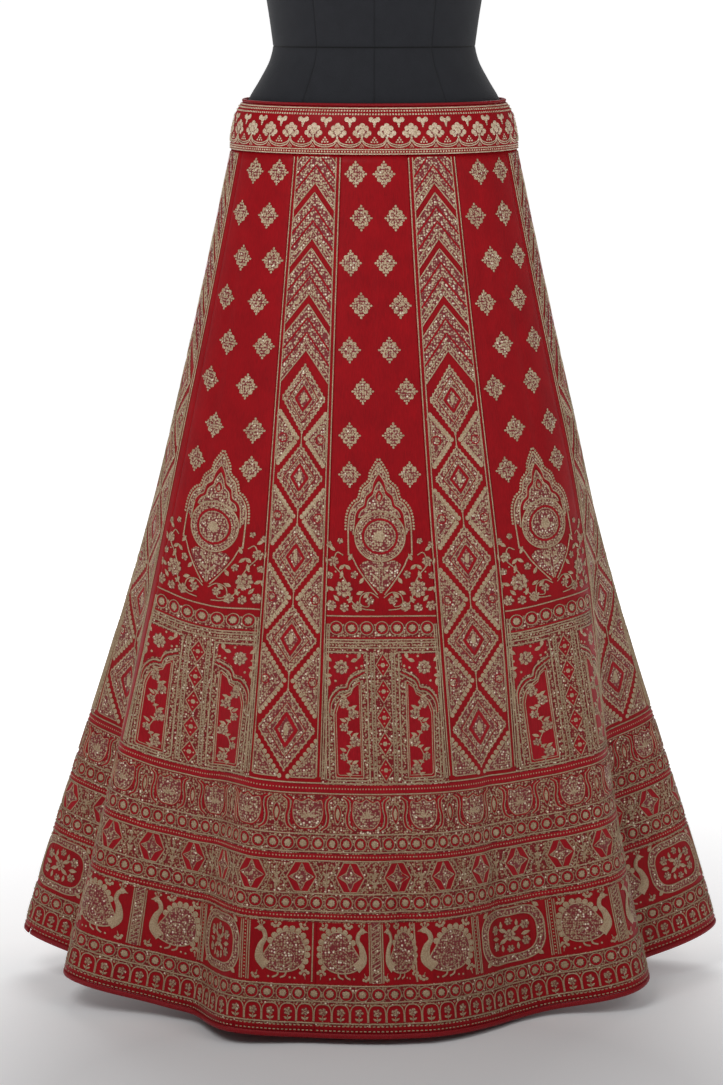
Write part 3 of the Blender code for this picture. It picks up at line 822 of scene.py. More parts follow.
def draw_windows():
    """The two windows with half arches, and the column of dark diamonds between them."""
    arch = smooth(WINDOW_ARCH, 44)
    panel = even(np.vstack([WINDOW_PANEL, WINDOW_PANEL[:1]]), 64, True)
    middle = panel.mean(axis=0)
    frame_line = even([(18, -561.5), (66, -561.5), (66, -640), (68, -706), (18, -706), (18, -561.5)], 80)
    shade = even(arch, 24)
    top = np.column_stack([shade[:, 0], np.full(len(shade), -563.5)])
    half = Work(
        gold=[
            ribbon(frame_line, 0.8),
            ribbon(arch, 0.85),
            ribbon(arch + (-2.2, -4.4), 0.7),
            ribbon(even([(62.6, -628), (64.0, -704)], 12), 0.7),
            ribbon(panel, 0.75, closed=True),
            ribbon(middle + (panel - middle) * (0.86, 0.94), 0.5, closed=True),
            dots(np.column_stack([np.full(16, 60.2), np.linspace(-636, -702, 16)]), 1.2),
            dots(np.column_stack([np.full(18, 21.4), np.linspace(-600, -702, 18)]), 1.2),
            ribbon(smooth(CREEPER, 34), 0.6),
        ],
        red=[
            patch(panel, INLAY_LIFT, INLAY_LIFT + 0.1, 5),
            ground(shade + (0, 3.4), top, INLAY_LIFT, 6),
            red_line(arch + (-1.1, -2.2), 0.9),
        ],
    )
    for number, (x, y) in enumerate(CREEPER[1:]):
        side = 1 if number % 2 else -1
        half.add(draw_bloom((6.6, 5.2, 7.2, 5.6, 6.8)[number % 5], 6), (x + side * 3.0, y), 0.4 * number)
        half.add(Work(gold=[leaf(8.5, 4.0)]), (x, y + 6), side * -1.1)
        half.add(Work(gold=[leaf(7.5, 3.6)]), (x, y - 7), side * 1.2)
    half.add(draw_bloom(8.6, 8), (47, -578.5))
    for x, y, turn in ((36, -572, 1.2), (58, -572, -0.9), (58, -588, -1.6), (28, -569, 0.3), (62, -600, 0.1)):
        half.add(Work(gold=[leaf(9, 4.4)]), (x, y), turn)
    half.add(Work(gold=[dots([(24, -577), (30, -579), (61, -580), (54, -594), (40, -566), (63, -566)], 1.5)]))
    work = half.paired()
    heights = np.linspace(-576, -694, 5)
    for x in (9.8, 13.4):
        work.add(Work(gold=[both_sides(ribbon(even([(x, -561), (x, -706)], 24), 0.6))]))
    work.add(Work(gold=[both_sides(beads([(11.6, -563), (11.6, -705)], 0.95, 3.4))]))
    gem = lozenge(8.2, 13.2, 28)
    for y in heights:
        work.add(
            Work(
                gold=[
                    ribbon(gem, 0.55, closed=True),
                    flower(3.2, 6),
                    dots([(0, 6.6), (0, -6.6), (4.6, 0), (-4.6, 0)]),
                ],
                red=[patch(gem * 0.93, INLAY_LIFT + 0.05, INLAY_LIFT + 0.15, 2)],
            ),
            (0, y),
        )
    return work


def draw_wide():
    """A whole wide kali above the borders."""
    work = Work()
    buti = draw_buti()
    for down, *offsets in BUTIS:
        for x in offsets:
            work.add(buti, (x, -down))
    work.add(draw_arch(), (0, -ARCH_DOWN))
    work.add(draw_garden()).add(draw_windows())
    return work.add(seam_lines(wide_half, 530, 709, (1.4, 4.0)))


def chevron(apex, half, inset):
    """Points of an inverted V across a narrow kali, from seam line to seam line."""
    reach = np.interp(0, *np.array([(half(apex + CHEVRON_SLOPE * x) - inset - x, x) for x in range(60, 0, -4)]).T)
    x = np.linspace(-reach, reach, 23)
    return np.column_stack([x, -(apex + CHEVRON_SLOPE * np.abs(x))])


def draw_chevrons():
    """The filled chevrons at the top of a narrow kali, with plain silk between them."""
    work = Work()
    for apex in CHEVRONS:
        lines = {offset: chevron(apex + offset, narrow_half, 6.2) for offset in (0, 15.5, 32, 42, 46, 51.5)}
        for offset, line in lines.items():
            kept = line[:, 1] < -3.5
            runs = [line[kept]] if kept.all() else [line[kept & (line[:, 0] < 0)], line[kept & (line[:, 0] > 0)]]
            for run in runs:
                if len(run) < 3:
                    continue
                if offset in (15.5, 32):
                    work.add(Work(red=[red_line(run, 1.05)]))
                elif offset == 46:
                    work.add(Work(gold=[dots(even(run, 16), 1.0)]))
                else:
                    work.add(Work(gold=[ribbon(run, 0.65)]))
        upper, lower = lines[0], chevron(apex + 51.5, narrow_half, 6.2)
        upper = np.column_stack([lower[:, 0], -(apex + CHEVRON_SLOPE * np.abs(lower[:, 0]))])
        upper[:, 1], lower[:, 1] = np.minimum(upper[:, 1], -2.5), np.minimum(lower[:, 1], -2.6)
        work.add(Work(fill=[ground(lower, upper, FILL_LIFT, 8)]))
    return work


def draw_diamond(wide, tall):
    """A filled diamond: beaded edge, a fine line inside it, and a red diamond with a bud at its heart."""
    edge = lozenge(wide, tall, 56)
    small = max(6.8, wide * 0.36)
    heart = lozenge(small, small * 1.45, 28)
    bud = smooth([(0, 1), (0.42, 0.2), (0.3, -0.5), (0, -0.75), (-0.3, -0.5), (-0.42, 0.2)], 18, True)
    return Work(
        gold=[
            ribbon(edge, 0.8, closed=True),
            dots(lozenge(wide + 0.6, tall + 0.8, 34), 1.5),
            dots(lozenge(wide - 4.0, tall - 5.0, 26), 1.2),
            ribbon(lozenge(wide * 0.66, tall * 0.66, 44), 0.5, closed=True),
            dots(lozenge(wide * 0.78, tall * 0.78, 12), 1.5),
            ribbon(heart * 1.3, 0.55, closed=True),
            blob(bud * (small * 0.9, small * 1.0)),
        ],
        red=[red_line(heart, small * 0.17, True), red_line(lozenge(wide * 0.71, tall * 0.71, 44), 0.45, True)],
        fill=[patch(edge, rings=5)],
    )


def draw_diamonds():
    """The chain of diamonds down a narrow kali, and the scalloped half diamonds at its seams."""
    work = Work()
    for top, bottom, wide in DIAMONDS:
        work.add(draw_diamond(wide, (bottom - top) / 2), (0, -(top + bottom) / 2))
    links = [(low + high) / 2 for (_, low, _), (high, _, _) in zip(DIAMONDS[:-1], DIAMONDS[1:])]
    for middle in (*links, DIAMONDS[-1][1] + 8.0):
        last = middle > DIAMONDS[-1][1]
        reach = float(narrow_half(middle)) - 6.8
        tall = DIAMOND_SLOPE * (reach - 7.5)
        work.add(Work(gold=[ribbon(even([(0, -middle - 8), (0, -middle + 8)], 4), 0.6)] if not last else []))
        corners = [(reach, tall), (7.5, 0), (reach, 0 if last else -tall)]
        closed = even([*corners, corners[0]], 44, True)
        slope = even(corners[:2] if last else corners, 9 if last else 17)
        outside = slope + (-2.2, 0) + np.sign(slope[:, 1:2] + 0.01) * (0, 0.8)
        small = closed.mean(axis=0) + (closed - closed.mean(axis=0)) * 0.62
        half = Work(
            gold=[
                ribbon(closed, 0.6, closed=True),
                dots(outside, 2.8, 8),
                ribbon(small, 0.45, closed=True),
                dots(even(slope + (4.4, 0), len(slope) - 3)[1:-1], 1.2),
            ],
            fill=[patch(closed, rings=4)],
        )
        if not last:
            half.add(Work(gold=[flower(3.2, 6)], red=[red_line(circle(5.0, 16), 0.7, True)]), (reach - 7, 0))
        work.add(half.paired(), (0, -middle))
    return work


def draw_narrow():
    """A whole narrow kali above the borders."""
    return draw_chevrons().add(draw_diamonds()).add(seam_lines(narrow_half, 3, 709, (1.2, 5.6)))


# What is drawn round the hem: x round from the front, y up from each border's own middle


def draw_lotus():
    """A filled pot of petals between double S curves, and the drop between two of them."""
    pot = smooth([(0, 16), (8, 12), (15, 14), (18, 5), (16, -8), (9, -16), (0, -17)], 30)
    pot = np.vstack([pot, pot[-2:0:-1] * (-1, 1)])
    curve = smooth([(14, -19), (21, -14), (23, -4), (21, 6), (22, 14), (28, 18)], 34)
    drop = smooth([(0, 12), (4.6, 1), (0, -12), (-4.6, 1)], 22, True)
    petals = place(leaf(11, 5.0), np.zeros((5, 2)) + (0, -5), turn=np.radians([-75, -38, 0, 38, 75]))
    return Work(
        gold=[
            ribbon(pot, 0.65, closed=True),
            petals,
            flower(3.4, 6),
            dots(circle(11, 16) * (1.15, 1.0) - (0, 3), 1.15),
            dots([(0, 18.5), (-4.5, 17), (4.5, 17), (37.1, 16), (33, 13), (41, 13), (37.1, -17)], 1.5),
            both_sides(ribbon(curve, 0.65)),
            both_sides(ribbon(curve + (4.2, -0.6), 0.65)),
            place(ribbon(drop, 0.55, closed=True), (37.1, -1)),
            place(blob(drop * 0.55), (37.1, -1)),
        ],
        red=[
            both_sides(red_line(curve + (2.1, -0.3), 1.35)),
            both_sides(red_line(curve[6:] + (-3.0, 0.4), 1.3)),
            red_line(np.vstack([pot, pot[:1]]) * 1.07, 0.8),
            place(red_line(drop * 0.8, 0.8, True), (37.1, -1)),
        ],
        fill=[patch(pot, FILL_LIFT, FILL_CROWN + 0.2, 4)],
    )


def draw_hexagon():
    """A red hexagon with a filled star, and the scalloped hourglass lines between two of them."""
    edge = np.array([(-8, 16.8), (8, 16.8), (17.5, 0), (8, -16.8), (-8, -16.8), (-17.5, 0)])
    closed = np.vstack([edge, edge[:1]])
    star = np.array([(0, 15.6), (4.6, 5.4), (14.2, 0), (4.6, -5.4), (0, -15.6), (-4.6, -5.4), (-14.2, 0), (-4.6, 5.4)])
    star = even(np.vstack([star, star[:1]]), 40, True)
    side = smooth([(12.5, 17), (18, 12), (20.5, 5), (24, 0), (20.5, -5), (18, -12), (12.5, -17)], 30)
    return Work(
        gold=[
            ribbon(even(closed, 46, True), 0.7, closed=True),
            both_sides(ribbon(side, 0.6)),
            both_sides(dots(even(side + (-1.9, 0), 10)[1:-1], 0.95)),
            ribbon(even(np.vstack([star, star[:1]]), 44, True), 0.45, closed=True),
            flower(3.0, 6),
            ribbon([(29.1, y) for y in range(-16, 17, 4)], 0.5),
            place(flower(2.4, 5), [(29.1, 10), (29.1, -10), (29.1, 0)]),
            place(leaf(6.5, 3), [(29.1, 1), (29.1, -8)], turn=[0.8, 0.8]),
            place(leaf(6.5, 3), [(29.1, 1), (29.1, -8)], turn=[-0.8, -0.8]),
        ],
        red=[patch(even(closed, 36, True), INLAY_LIFT, INLAY_LIFT + 0.05, 3)],
        fill=[patch(star, rings=3)],
    )


def draw_spot():
    """One rosette of the rows between the borders: a red ring about a gold wheel."""
    return Work(
        gold=[flower(4.3, 8, 0.36), ribbon(circle(7.5, 20), 0.5, closed=True)],
        red=[red_line(circle(5.7, 20), 1.1, True)],
    )


def draw_bird():
    """A peacock facing left with its tail spread: padded fan, round petals on its rim, S neck, crest and legs."""
    fan = smooth(BIRD_FAN, 56, True)
    rim = smooth(BIRD_RIM, 60)
    neck = smooth([(-14, -16), (-22, -8), (-21, 4), (-16.5, 12), (-18, 19), (-21.5, 21.5)], 22)
    swell = np.interp(np.linspace(0, 1, 22), [0, 0.3, 0.7, 1], [6.0, 4.4, 2.4, 2.3])
    wing = smooth([(-8, -14), (2, -18), (12, -13), (14, -4), (6, 2), (-4, -1)], 30, True)
    bird = Work(
        gold=[
            ribbon(fan, 0.7, closed=True),
            dots(even(rim, 12), 3.3, 8),
            dots(even(fan[4:40] * 0.78 + (0.8, -0.4), 15), 1.35),
            ribbon(wing, 0.65, closed=True),
            ribbon(wing * 0.62 + (1, -3), 0.5, closed=True),
            place(flower(3.2, 7), (3, -8)),
            ribbon(neck, swell, 0.5, 1.7, 4),
            place(blob(circle(3.2, 10), 0.5, 1.8), (-21.8, 22)),
            blob([(-24.4, 23.4), (-24.4, 20.4), (-28.4, 20.8)]),
            dots([(-24, 28), (-21, 29.2), (-18.2, 27.6)], 1.35),
            join([ribbon(even([(-21.5, 24), point], 4), 0.4) for point in ((-23.8, 27), (-21, 28.4), (-18.6, 26.8))]),
            ribbon(smooth([(-2, -20), (-3, -25), (-8, -27.5)], 8), 0.9),
            ribbon(smooth([(6, -20), (5, -25), (0, -27.5)], 8), 0.9),
            dots([(-12, -27), (10, -27), (15, -27.6)], 1.2),
        ],
        fill=[patch(fan, FILL_LIFT + 0.1, FILL_CROWN + 0.35, 5)],
    )
    for x, y, turn, size in ((25, -24, 0.2, 0.8), (-25, -25, 2.8, 0.7), (24, 27, 2.7, 0.8), (-6, 29, 3.4, 0.8)):
        bird.add(draw_petals(), (x, y), turn, size)
    return Work().add(bird, size=1.1)


def draw_petals():
    """A spray of five round petals on a stem."""
    turns = np.radians([20, 62, 105, 148])
    at = np.stack([np.cos(turns), np.sin(turns)], axis=-1) * 5.2
    return Work(gold=[dots(at, 2.3, 7), dots([(0, 0)], 2.0), ribbon(even([(0, 0), (0, -6)], 4), 0.5)])


def draw_pillar():
    """A column of close slanting stitches between gold lines."""
    rungs = [ribbon(even([(-4.6, y), (4.6, y + 6)], 4), 0.55) for y in range(-33, 28, 5)]
    lines = [ribbon([(x, y) for y in range(-34, 35, 6)], 0.7) for x in (-7.6, -5.4, 5.4, 7.6)]
    return Work(gold=[*rungs, *lines], fill=[box_ground(-5, 5, 34.5, -34.5, FILL_LIFT, 10, 2)])


def draw_cartouche():
    """A long rounded frame of beads between double lines, with a bouquet on red inside it."""
    outer = smooth(CARTOUCHE, 64, True)
    inner = outer * (0.80, 0.74)
    work = Work(
        gold=[
            ribbon(outer, 0.8, closed=True),
            ribbon(inner, 0.75, closed=True),
            dots(even(np.vstack([outer, outer[:1]]) * (0.90, 0.87), 52, True), 1.2),
            both_sides(place(leaf(11, 5), [(3, -4), (3, 4), (14, -2)], turn=[-2.0, -1.1, -1.4])),
            place(leaf(8, 4), [(9, 9), (-9, 9), (9, -18), (-9, -18)]),
        ],
        fill=[both_sides(ground(outer[:33] * (-1, 1), inner[:33] * (-1, 1), FILL_LIFT, 2))],
    )
    work.add(draw_bloom(7.4, 8))
    for x, y, radius in ((19, 9, 6.0), (-19, 9, 6.0), (19, -10, 5.6), (-19, -10, 5.6), (0, 16, 4.6), (0, -16, 4.6)):
        work.add(draw_bloom(radius, 6), (x, y))
    return work.add(Work(gold=[both_sides(place(leaf(9, 5), [(37, 27), (37, -30)], turn=[0.9, 0.9]))]))


def draw_parting():
    """Two pairs of upright lines with a row of round stitches between them."""
    lines = [ribbon([(x, y) for y in range(-34, 35, 6)], 0.65) for x in (-5.0, -2.6, 2.6, 5.0)]
    return Work(gold=[*lines, dots([(0, y) for y in range(-32, 33, 4)], 1.0)])


def draw_line():
    return Work(gold=[ribbon([(0, y) for y in range(-34, 35, 6)], 0.8)])


def draw_little_arch():
    """A small arch on red with a flower standing in it."""
    line = smooth([(-9.3, -10), (-9.0, 2), (-6, 8), (0, 9.6), (6, 8), (9.0, 2), (9.3, -10)], 26)
    work = Work(gold=[ribbon(line, 0.65), ribbon([(0, -10), (0, -7), (0, -4)], 0.5), dots([(9.75, 8.6)], 1.2)])
    work.add(draw_bloom(4.9, 5), (0, 0.6))
    return work.add(Work(gold=[both_sides(place(leaf(5, 2.6), (0.4, -8.5), turn=-0.9))]))


def hem_figures():
    """(kind, distance round, width share) of the widest border's figures: the front as worn, then the same order
    carried on round the back. A negative share faces right."""
    placed = list(FRONT_FIGURES)
    room = sum(width for _, width, _ in FIGURE_ORDER) * FIGURE_REPEATS
    start, stop = BACK_FIGURES
    position, scale = start, (stop - start) / room
    for kind, width, share in FIGURE_ORDER * FIGURE_REPEATS:
        placed.append((kind, position + width * scale / 2, share))
        position += width * scale
    return placed


def draw_palmette():
    """A fat lobed flower that stands on its origin, with its petals spread wide at the foot."""
    lobes = ((0, 13.4, 3.4), (4.7, 10.8, 3.1), (7.8, 5.6, 2.9), (4.8, 2.6, 2.4))
    petals = [dots([(x, y), (-x, y)] if x else [(x, y)], radius, 9) for x, y, radius in lobes]
    outline = smooth([(0, 14), (6, 11), (7.4, 6), (4, 1.6), (-4, 1.6), (-7.4, 6), (-6, 11)], 26, True)
    gold = [*petals, place(blob(circle(5.4, 16, 0.2, 8)), (0, 7.2)), dots([(0, 0.6)], 1.4)]
    return Work(gold=gold, fill=[patch(outline, rings=2)])


def draw_waistband():
    """The whole waistband: clusters hanging from two rows of stitches, palmettes on scallops, and dots below."""
    whole = band_round()[1]
    around = (whole[-1] - whole[0]) / MM
    count = round(around / BAND_UNIT)
    pitch, reach = around / count, around / 2
    half = pitch / 2
    scallop = smooth([(-half, 18.4), (-half * 0.7, 13.0), (0, 10.8), (half * 0.7, 13.0), (half, 18.4)], 22)
    triangle = dots([(0, 4.6), (-1.6, 2.2), (1.6, 2.2), (-3.2, -0.2), (0, -0.2), (3.2, -0.2)], 1.15)
    cluster = [dots([(-3.9, 39.2), (3.9, 39.2), (0, 37.4)], 2.9, 9), dots([(0, 33.8)], 1.7), dots([(0, 31.4)], 1.0)]
    one = Work(
        gold=[
            ribbon(scallop, 0.6),
            ribbon(scallop + (0, -2.3), 0.6),
            place(triangle, (0, 14.4)),
            place(triangle, (half, 8.8), size=0.6),
            *cluster,
        ]
    ).add(draw_palmette(), (half, 18.6))
    work = Work()
    for number in range(count):
        work.add(one, (pitch * number - reach, 0))
    steps = np.linspace(-reach, reach, 200)
    rows = [ribbon(np.column_stack([steps, steps * 0 + up]), 0.65) for up in (0.9, 5.9, 51.6)]
    rows += [beads([(-reach, up), (reach, up)], 1.1, 3.3) for up in (3.4,)]
    return work.add(Work(gold=[*rows, *(dashes([(-reach, up), (reach, up)], 3.4, half=0.9) for up in (48.8, 45.0))]))


# Laying the drawings on the skirt and the waistband


def band_face(angle, share, out):
    """Point on the waistband at a share of its height: an oval whose half axes follow the band's shape table."""
    rows = np.array(BAND_SHAPE).T
    wide = TOP_HALF_WIDTH + np.interp(share, rows[0], rows[1]) + out
    deep = TOP_HALF_DEPTH + np.interp(share, rows[0], rows[2]) + out
    height = band_low(angle) + SEAM_GAP + share * BAND_HEIGHT
    return np.stack([wide * np.sin(angle), -deep * np.cos(angle), height], axis=-1)


def band_round():
    """(angles, distance round from the front in metres) along the waistband, a third of the way up it."""
    angles = np.radians(np.linspace(-180, 180, 721))
    steps = np.linalg.norm(np.diff(band_face(angles, np.full(721, 0.33), 0.0), axis=0), axis=1)
    along = np.concatenate([[0.0], np.cumsum(steps)])
    return angles, along - along[-1] / 2


def on_band(made):
    """A flat shape on the waistband: x round from the middle of the front, and y up from its lower edge."""
    points, faces = facing_up(made)
    points = points * MM
    angles, along = band_round()
    whole = along[-1] - along[0]
    angle = np.interp(np.mod(points[:, 0] - along[0], whole) + along[0], along, angles)
    return band_face(angle, points[:, 1] / BAND_HEIGHT, points[:, 2]), faces


def closed_wall(outer, inner):
    """(points, triangles) of a cloth wall between two grids, with its four edges closed."""
    rows, columns = outer.shape[:2]
    index = np.arange(rows * columns).reshape(rows, columns)
    back = index + rows * columns
    face = np.stack([index[1:, :-1], index[1:, 1:], index[:-1, 1:], index[:-1, :-1]], axis=-1).reshape(-1, 4)
    rim = np.concatenate([index[0, :-1], index[:-1, -1], index[-1, :0:-1], index[:0:-1, 0]])
    ahead = np.roll(rim, -1)
    edge = np.stack([rim, ahead, ahead + rows * columns, rim + rows * columns], axis=-1)
    quads = np.concatenate([face, (face + rows * columns)[:, ::-1], edge])
    points = np.concatenate([outer.reshape(-1, 3), inner.reshape(-1, 3)])
    return points, np.concatenate([quads[:, :3], quads[:, [0, 2, 3]]])


def tube(centres, right, up, sides=14, closed=False):
    """A tube round a path: at each point, half axes right and up are carried round a circle. Open ends are filled."""
    turn = np.linspace(0, 2 * math.pi, sides, endpoint=False)[None, :, None]
    rings = centres[:, None] + right[:, None] * np.cos(turn) + up[:, None] * np.sin(turn)
    return rings_surface(rings, closed)


def rings_surface(rings, closed=False):
    """A closed skin over rings of equally many points, with a fan at each end."""
    rows, sides = rings.shape[:2]
    index = np.arange(rows * sides).reshape(rows, sides)
    after = np.roll(index, -1, axis=0) if closed else index[1:]
    here = index if closed else index[:-1]
    quads = np.stack(
        [here, np.roll(here, -1, axis=1), np.roll(after, -1, axis=1), after], axis=-1
    ).reshape(-1, 4)
    faces = [quads[:, :3], quads[:, [0, 2, 3]]]
    points = rings.reshape(-1, 3)
    if not closed:
        points = np.vstack([points, rings[0].mean(axis=0), rings[-1].mean(axis=0)])
        for ring, middle, way in ((index[0], rows * sides, -1), (index[-1], rows * sides + 1, 1)):
            fan = np.stack([ring, np.roll(ring, -1), np.full(sides, middle)], axis=-1)
            faces.append(fan[:, ::way])
    return points, np.concatenate(faces)


def outward(made):
    """A closed skin turned, if need be, so that the volume inside its faces is positive."""
    points, faces = made
    a, b, c = (points[faces[:, i]] for i in range(3))
    return (points, faces if (a * np.cross(b, c)).sum() > 0 else faces[:, ::-1])


def new_piece(name, made, look, attributes=()):
    """A smooth-shaded piece from points and triangles, riding on the root body."""
    points, faces = made
    used, faces = np.unique(faces, return_inverse=True)
    points, faces = points[used], faces.reshape(-1, 3)
    data = bpy.data.meshes.new(name)
    data.vertices.add(len(points))
    data.vertices.foreach_set("co", points.astype(np.float32).ravel())
    data.loops.add(faces.size)
    data.loops.foreach_set("vertex_index", faces.astype(np.int32).ravel())
    data.polygons.add(len(faces))
    data.polygons.foreach_set("loop_start", np.arange(0, faces.size, 3, dtype=np.int32))
    data.polygons.foreach_set("use_smooth", np.ones(len(faces), dtype=bool))
    for label, values in attributes:
        layer = data.attributes.new(label, "FLOAT", "POINT")
        layer.data.foreach_set("value", values.ravel()[used].astype(np.float32))
    data.update(calc_edges=True)
    data.materials.append(look)
    piece = bpy.data.objects.new(name, data)
    bpy.context.scene.collection.objects.link(piece)
    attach(piece, "root")
    return piece


# Materials


def add_node(tree, kind, sockets=(), **settings):
    """A shader node with its settings, and its sockets set to values or linked to other sockets."""
    node = tree.nodes.new(kind)
    for name, value in settings.items():
        setattr(node, name, value)
    for name, value in dict(sockets).items():
        if isinstance(value, bpy.types.NodeSocket):
            tree.links.new(value, node.inputs[name])
        else:
            node.inputs[name].default_value = value
    return node


def new_look(name, **numbers):
    """(material, its node tree, its shader) with the shader's own uniform numbers set."""
    look = bpy.data.materials.new(name)
    look.use_nodes = True
    shader = look.node_tree.nodes["Principled BSDF"]
    for socket, value in numbers.items():
        shader.inputs[socket.replace("_", " ")].default_value = value
    return look, look.node_tree, shader


def colour(value):
    return (*value[:3], 1.0)


def mixed(tree, share, first, second):
    """A colour between two by a share."""
    node = add_node(tree, "ShaderNodeMix", data_type="RGBA")
    for socket, value in ((node.inputs[0], share), (node.inputs[6], first), (node.inputs[7], second)):
        if isinstance(value, bpy.types.NodeSocket):
            tree.links.new(value, socket)
        else:
            socket.default_value = value
    return node.outputs[2]


def ramp(tree, share, stops, mode="LINEAR"):
    """Greys along a ramp: (place, value) stops."""
    node = add_node(tree, "ShaderNodeValToRGB", {"Fac": share})
    node.color_ramp.interpolation = mode
    band = node.color_ramp.elements
    while len(band) < len(stops):
        band.new(0.5)
    for element, (spot, value) in zip(band, stops):
        element.position = spot
        element.color = (value, value, value, 1.0)
    return node.outputs["Color"]


def maths(tree, operation, first, second=0.0, third=0.0):
    node = add_node(tree, "ShaderNodeMath", operation=operation)
    for socket, value in zip(node.inputs, (first, second, third)):
        if isinstance(value, bpy.types.NodeSocket):
            tree.links.new(value, socket)
        else:
            socket.default_value = value
    return node.outputs[0]


def raised(tree, shader, heights, distance, strength=1.0):
    """Bumps the shader's normal by heights of 0 to 1 times a distance in metres."""
    bump = add_node(tree, "ShaderNodeBump", {"Height": heights, "Distance": distance, "Strength": strength})
    tree.links.new(bump.outputs[0], shader.inputs["Normal"])


def silk_parts(tree, place, lit, shade):
    """(colour, height) of plain silk: upright slubs in stretched noise, softer cloudy shade, and a fine twill."""
    slubs = add_node(tree, "ShaderNodeMapping", {"Vector": place, "Scale": (900.0, 900.0, 45.0)})
    slub = add_node(tree, "ShaderNodeTexNoise", {"Vector": slubs.outputs[0], "Scale": 1.0, "Detail": 3.0})
    cloud = add_node(tree, "ShaderNodeTexNoise", {"Vector": place, "Scale": 38.0, "Detail": 2.0})
    both = maths(tree, "MULTIPLY_ADD", slub.outputs["Fac"], 0.6, maths(tree, "MULTIPLY", cloud.outputs["Fac"], 0.4))
    share = ramp(tree, both, ((0.25, 0.0), (0.75, 1.0)))
    return mixed(tree, share, colour(shade), colour(lit)), slub.outputs["Fac"]


def fill_parts(tree, place, colours, scale):
    """(colour, height) of close round stitches: cells about a dot, pale, tan and dull ones among a dark ground. The
    stitches are painted paler higher up and darker lower down, as painted shade of light from above, and a few are
    painted whitish as a painted highlight, the glint of sequins.
    """
    cells = add_node(tree, "ShaderNodeTexVoronoi", {"Vector": place, "Scale": scale, "Randomness": 0.7})
    dot = ramp(tree, cells.outputs["Distance"], ((0.28, 1.0), (0.56, 0.0)))
    tint = add_node(tree, "ShaderNodeSeparateColor", {"Color": cells.outputs["Color"]})
    height = add_node(tree, "ShaderNodeSeparateXYZ", {"Vector": place}).outputs["Z"]
    # painted shade: the share of pale thread grows with height, so the fill is darker lower down; the cell's own tint
    # adds tone at random
    tone_and_shade = maths(tree, "MULTIPLY_ADD", height, 0.65, maths(tree, "MULTIPLY", tint.outputs[0], 0.45))
    thread = mixed(tree, ramp(tree, tone_and_shade, ((0.1, 0.0), (0.9, 1.0))), colours[1], colours[0])
    # painted highlight: cells with a high green tint turn whitish, standing for the glint of sequins
    thread = mixed(tree, maths(tree, "GREATER_THAN", tint.outputs[1], 0.88), thread, SEQUIN_GLINT)
    return mixed(tree, dot, colours[2], thread), dot


def fill_look(name, colours):
    look, tree, shader = new_look(name, Roughness=0.5, Metallic=0.15)
    place = add_node(tree, "ShaderNodeTexCoord").outputs["Object"]
    threads = (colour(colours.fill_pale), colour(colours.fill_tan), colour(colours.fill_ground))
    fill, dots = fill_parts(tree, place, threads, FILL_CELLS)
    tree.links.new(fill, shader.inputs["Base Color"])
    raised(tree, shader, dots, 0.0007, 0.8)
    return look


def plain_silk(name, colours):
    look, tree, shader = new_look(
        name, Roughness=0.5, Specular_IOR_Level=0.14, Sheen_Weight=0.06, Sheen_Tint=(1.0, 0.15, 0.15, 1.0)
    )
    place = add_node(tree, "ShaderNodeTexCoord").outputs["Object"]
    tone, height = silk_parts(tree, place, colours.silk, colours.silk_shade)
    tree.links.new(tone, shader.inputs["Base Color"])
    raised(tree, shader, height, 0.0003, 0.5)
    return look


def worked_silk(name, colours, stops):
    """Silk whose stitched zones follow the distance down the cloth, kept on the piece as an attribute."""
    look, tree, shader = new_look(
        name, Roughness=0.5, Specular_IOR_Level=0.14, Sheen_Weight=0.06, Sheen_Tint=(1.0, 0.15, 0.15, 1.0)
    )
    place = add_node(tree, "ShaderNodeTexCoord").outputs["Object"]
    silk, slub = silk_parts(tree, place, colours.silk, colours.silk_shade)
    threads = (colour(colours.fill_pale), colour(colours.fill_tan), colour(colours.fill_ground))
    fill, dots = fill_parts(tree, place, threads, FILL_CELLS)
    down = add_node(tree, "ShaderNodeAttribute", attribute_name="down").outputs["Fac"]
    outer = add_node(tree, "ShaderNodeAttribute", attribute_name="outer").outputs["Fac"]
    zone = maths(tree, "MULTIPLY", ramp(tree, down, stops, "CONSTANT"), maths(tree, "GREATER_THAN", outer, 0.5))
    tree.links.new(mixed(tree, zone, silk, fill), shader.inputs["Base Color"])
    tree.links.new(maths(tree, "MULTIPLY", maths(tree, "MULTIPLY", zone, dots), 0.35), shader.inputs["Metallic"])
    heights = maths(tree, "MULTIPLY_ADD", slub, 0.15, maths(tree, "MULTIPLY", dots, zone))
    raised(tree, shader, heights, 0.0007, 0.8)
    return look


def thread_look(name, pale, dark, metallic=0.25, roughness=0.45, scale=650.0):
    """Thread that catches the light in small stitches: cells of pale and dark, and a bump between them. Lower down the
    thread is painted darker, as painted shade of light from above.
    """
    look, tree, shader = new_look(name, Metallic=metallic, Roughness=roughness)
    place = add_node(tree, "ShaderNodeTexCoord").outputs["Object"]
    cells = add_node(tree, "ShaderNodeTexVoronoi", {"Vector": place, "Scale": scale})
    share = ramp(tree, cells.outputs["Distance"], ((0.15, 1.0), (0.75, 0.0)))
    wide = add_node(tree, "ShaderNodeTexNoise", {"Vector": place, "Scale": 45.0, "Detail": 3.0})
    tone_and_shade = ramp(tree, wide.outputs["Fac"], ((0.35, 0.0), (0.65, 1.0)))
    between = maths(tree, "MULTIPLY_ADD", tone_and_shade, 0.3, maths(tree, "MULTIPLY", share, 0.7))
    height = add_node(tree, "ShaderNodeSeparateXYZ", {"Vector": place}).outputs["Z"]
    # painted shade: the share of pale thread falls towards the bottom of the skirt
    between = maths(tree, "MULTIPLY", between, maths(tree, "MULTIPLY_ADD", height, 0.55, 0.45))
    tree.links.new(mixed(tree, between, colour(dark), colour(pale)), shader.inputs["Base Color"])
    raised(tree, shader, share, 0.0004, 0.8)
    return look


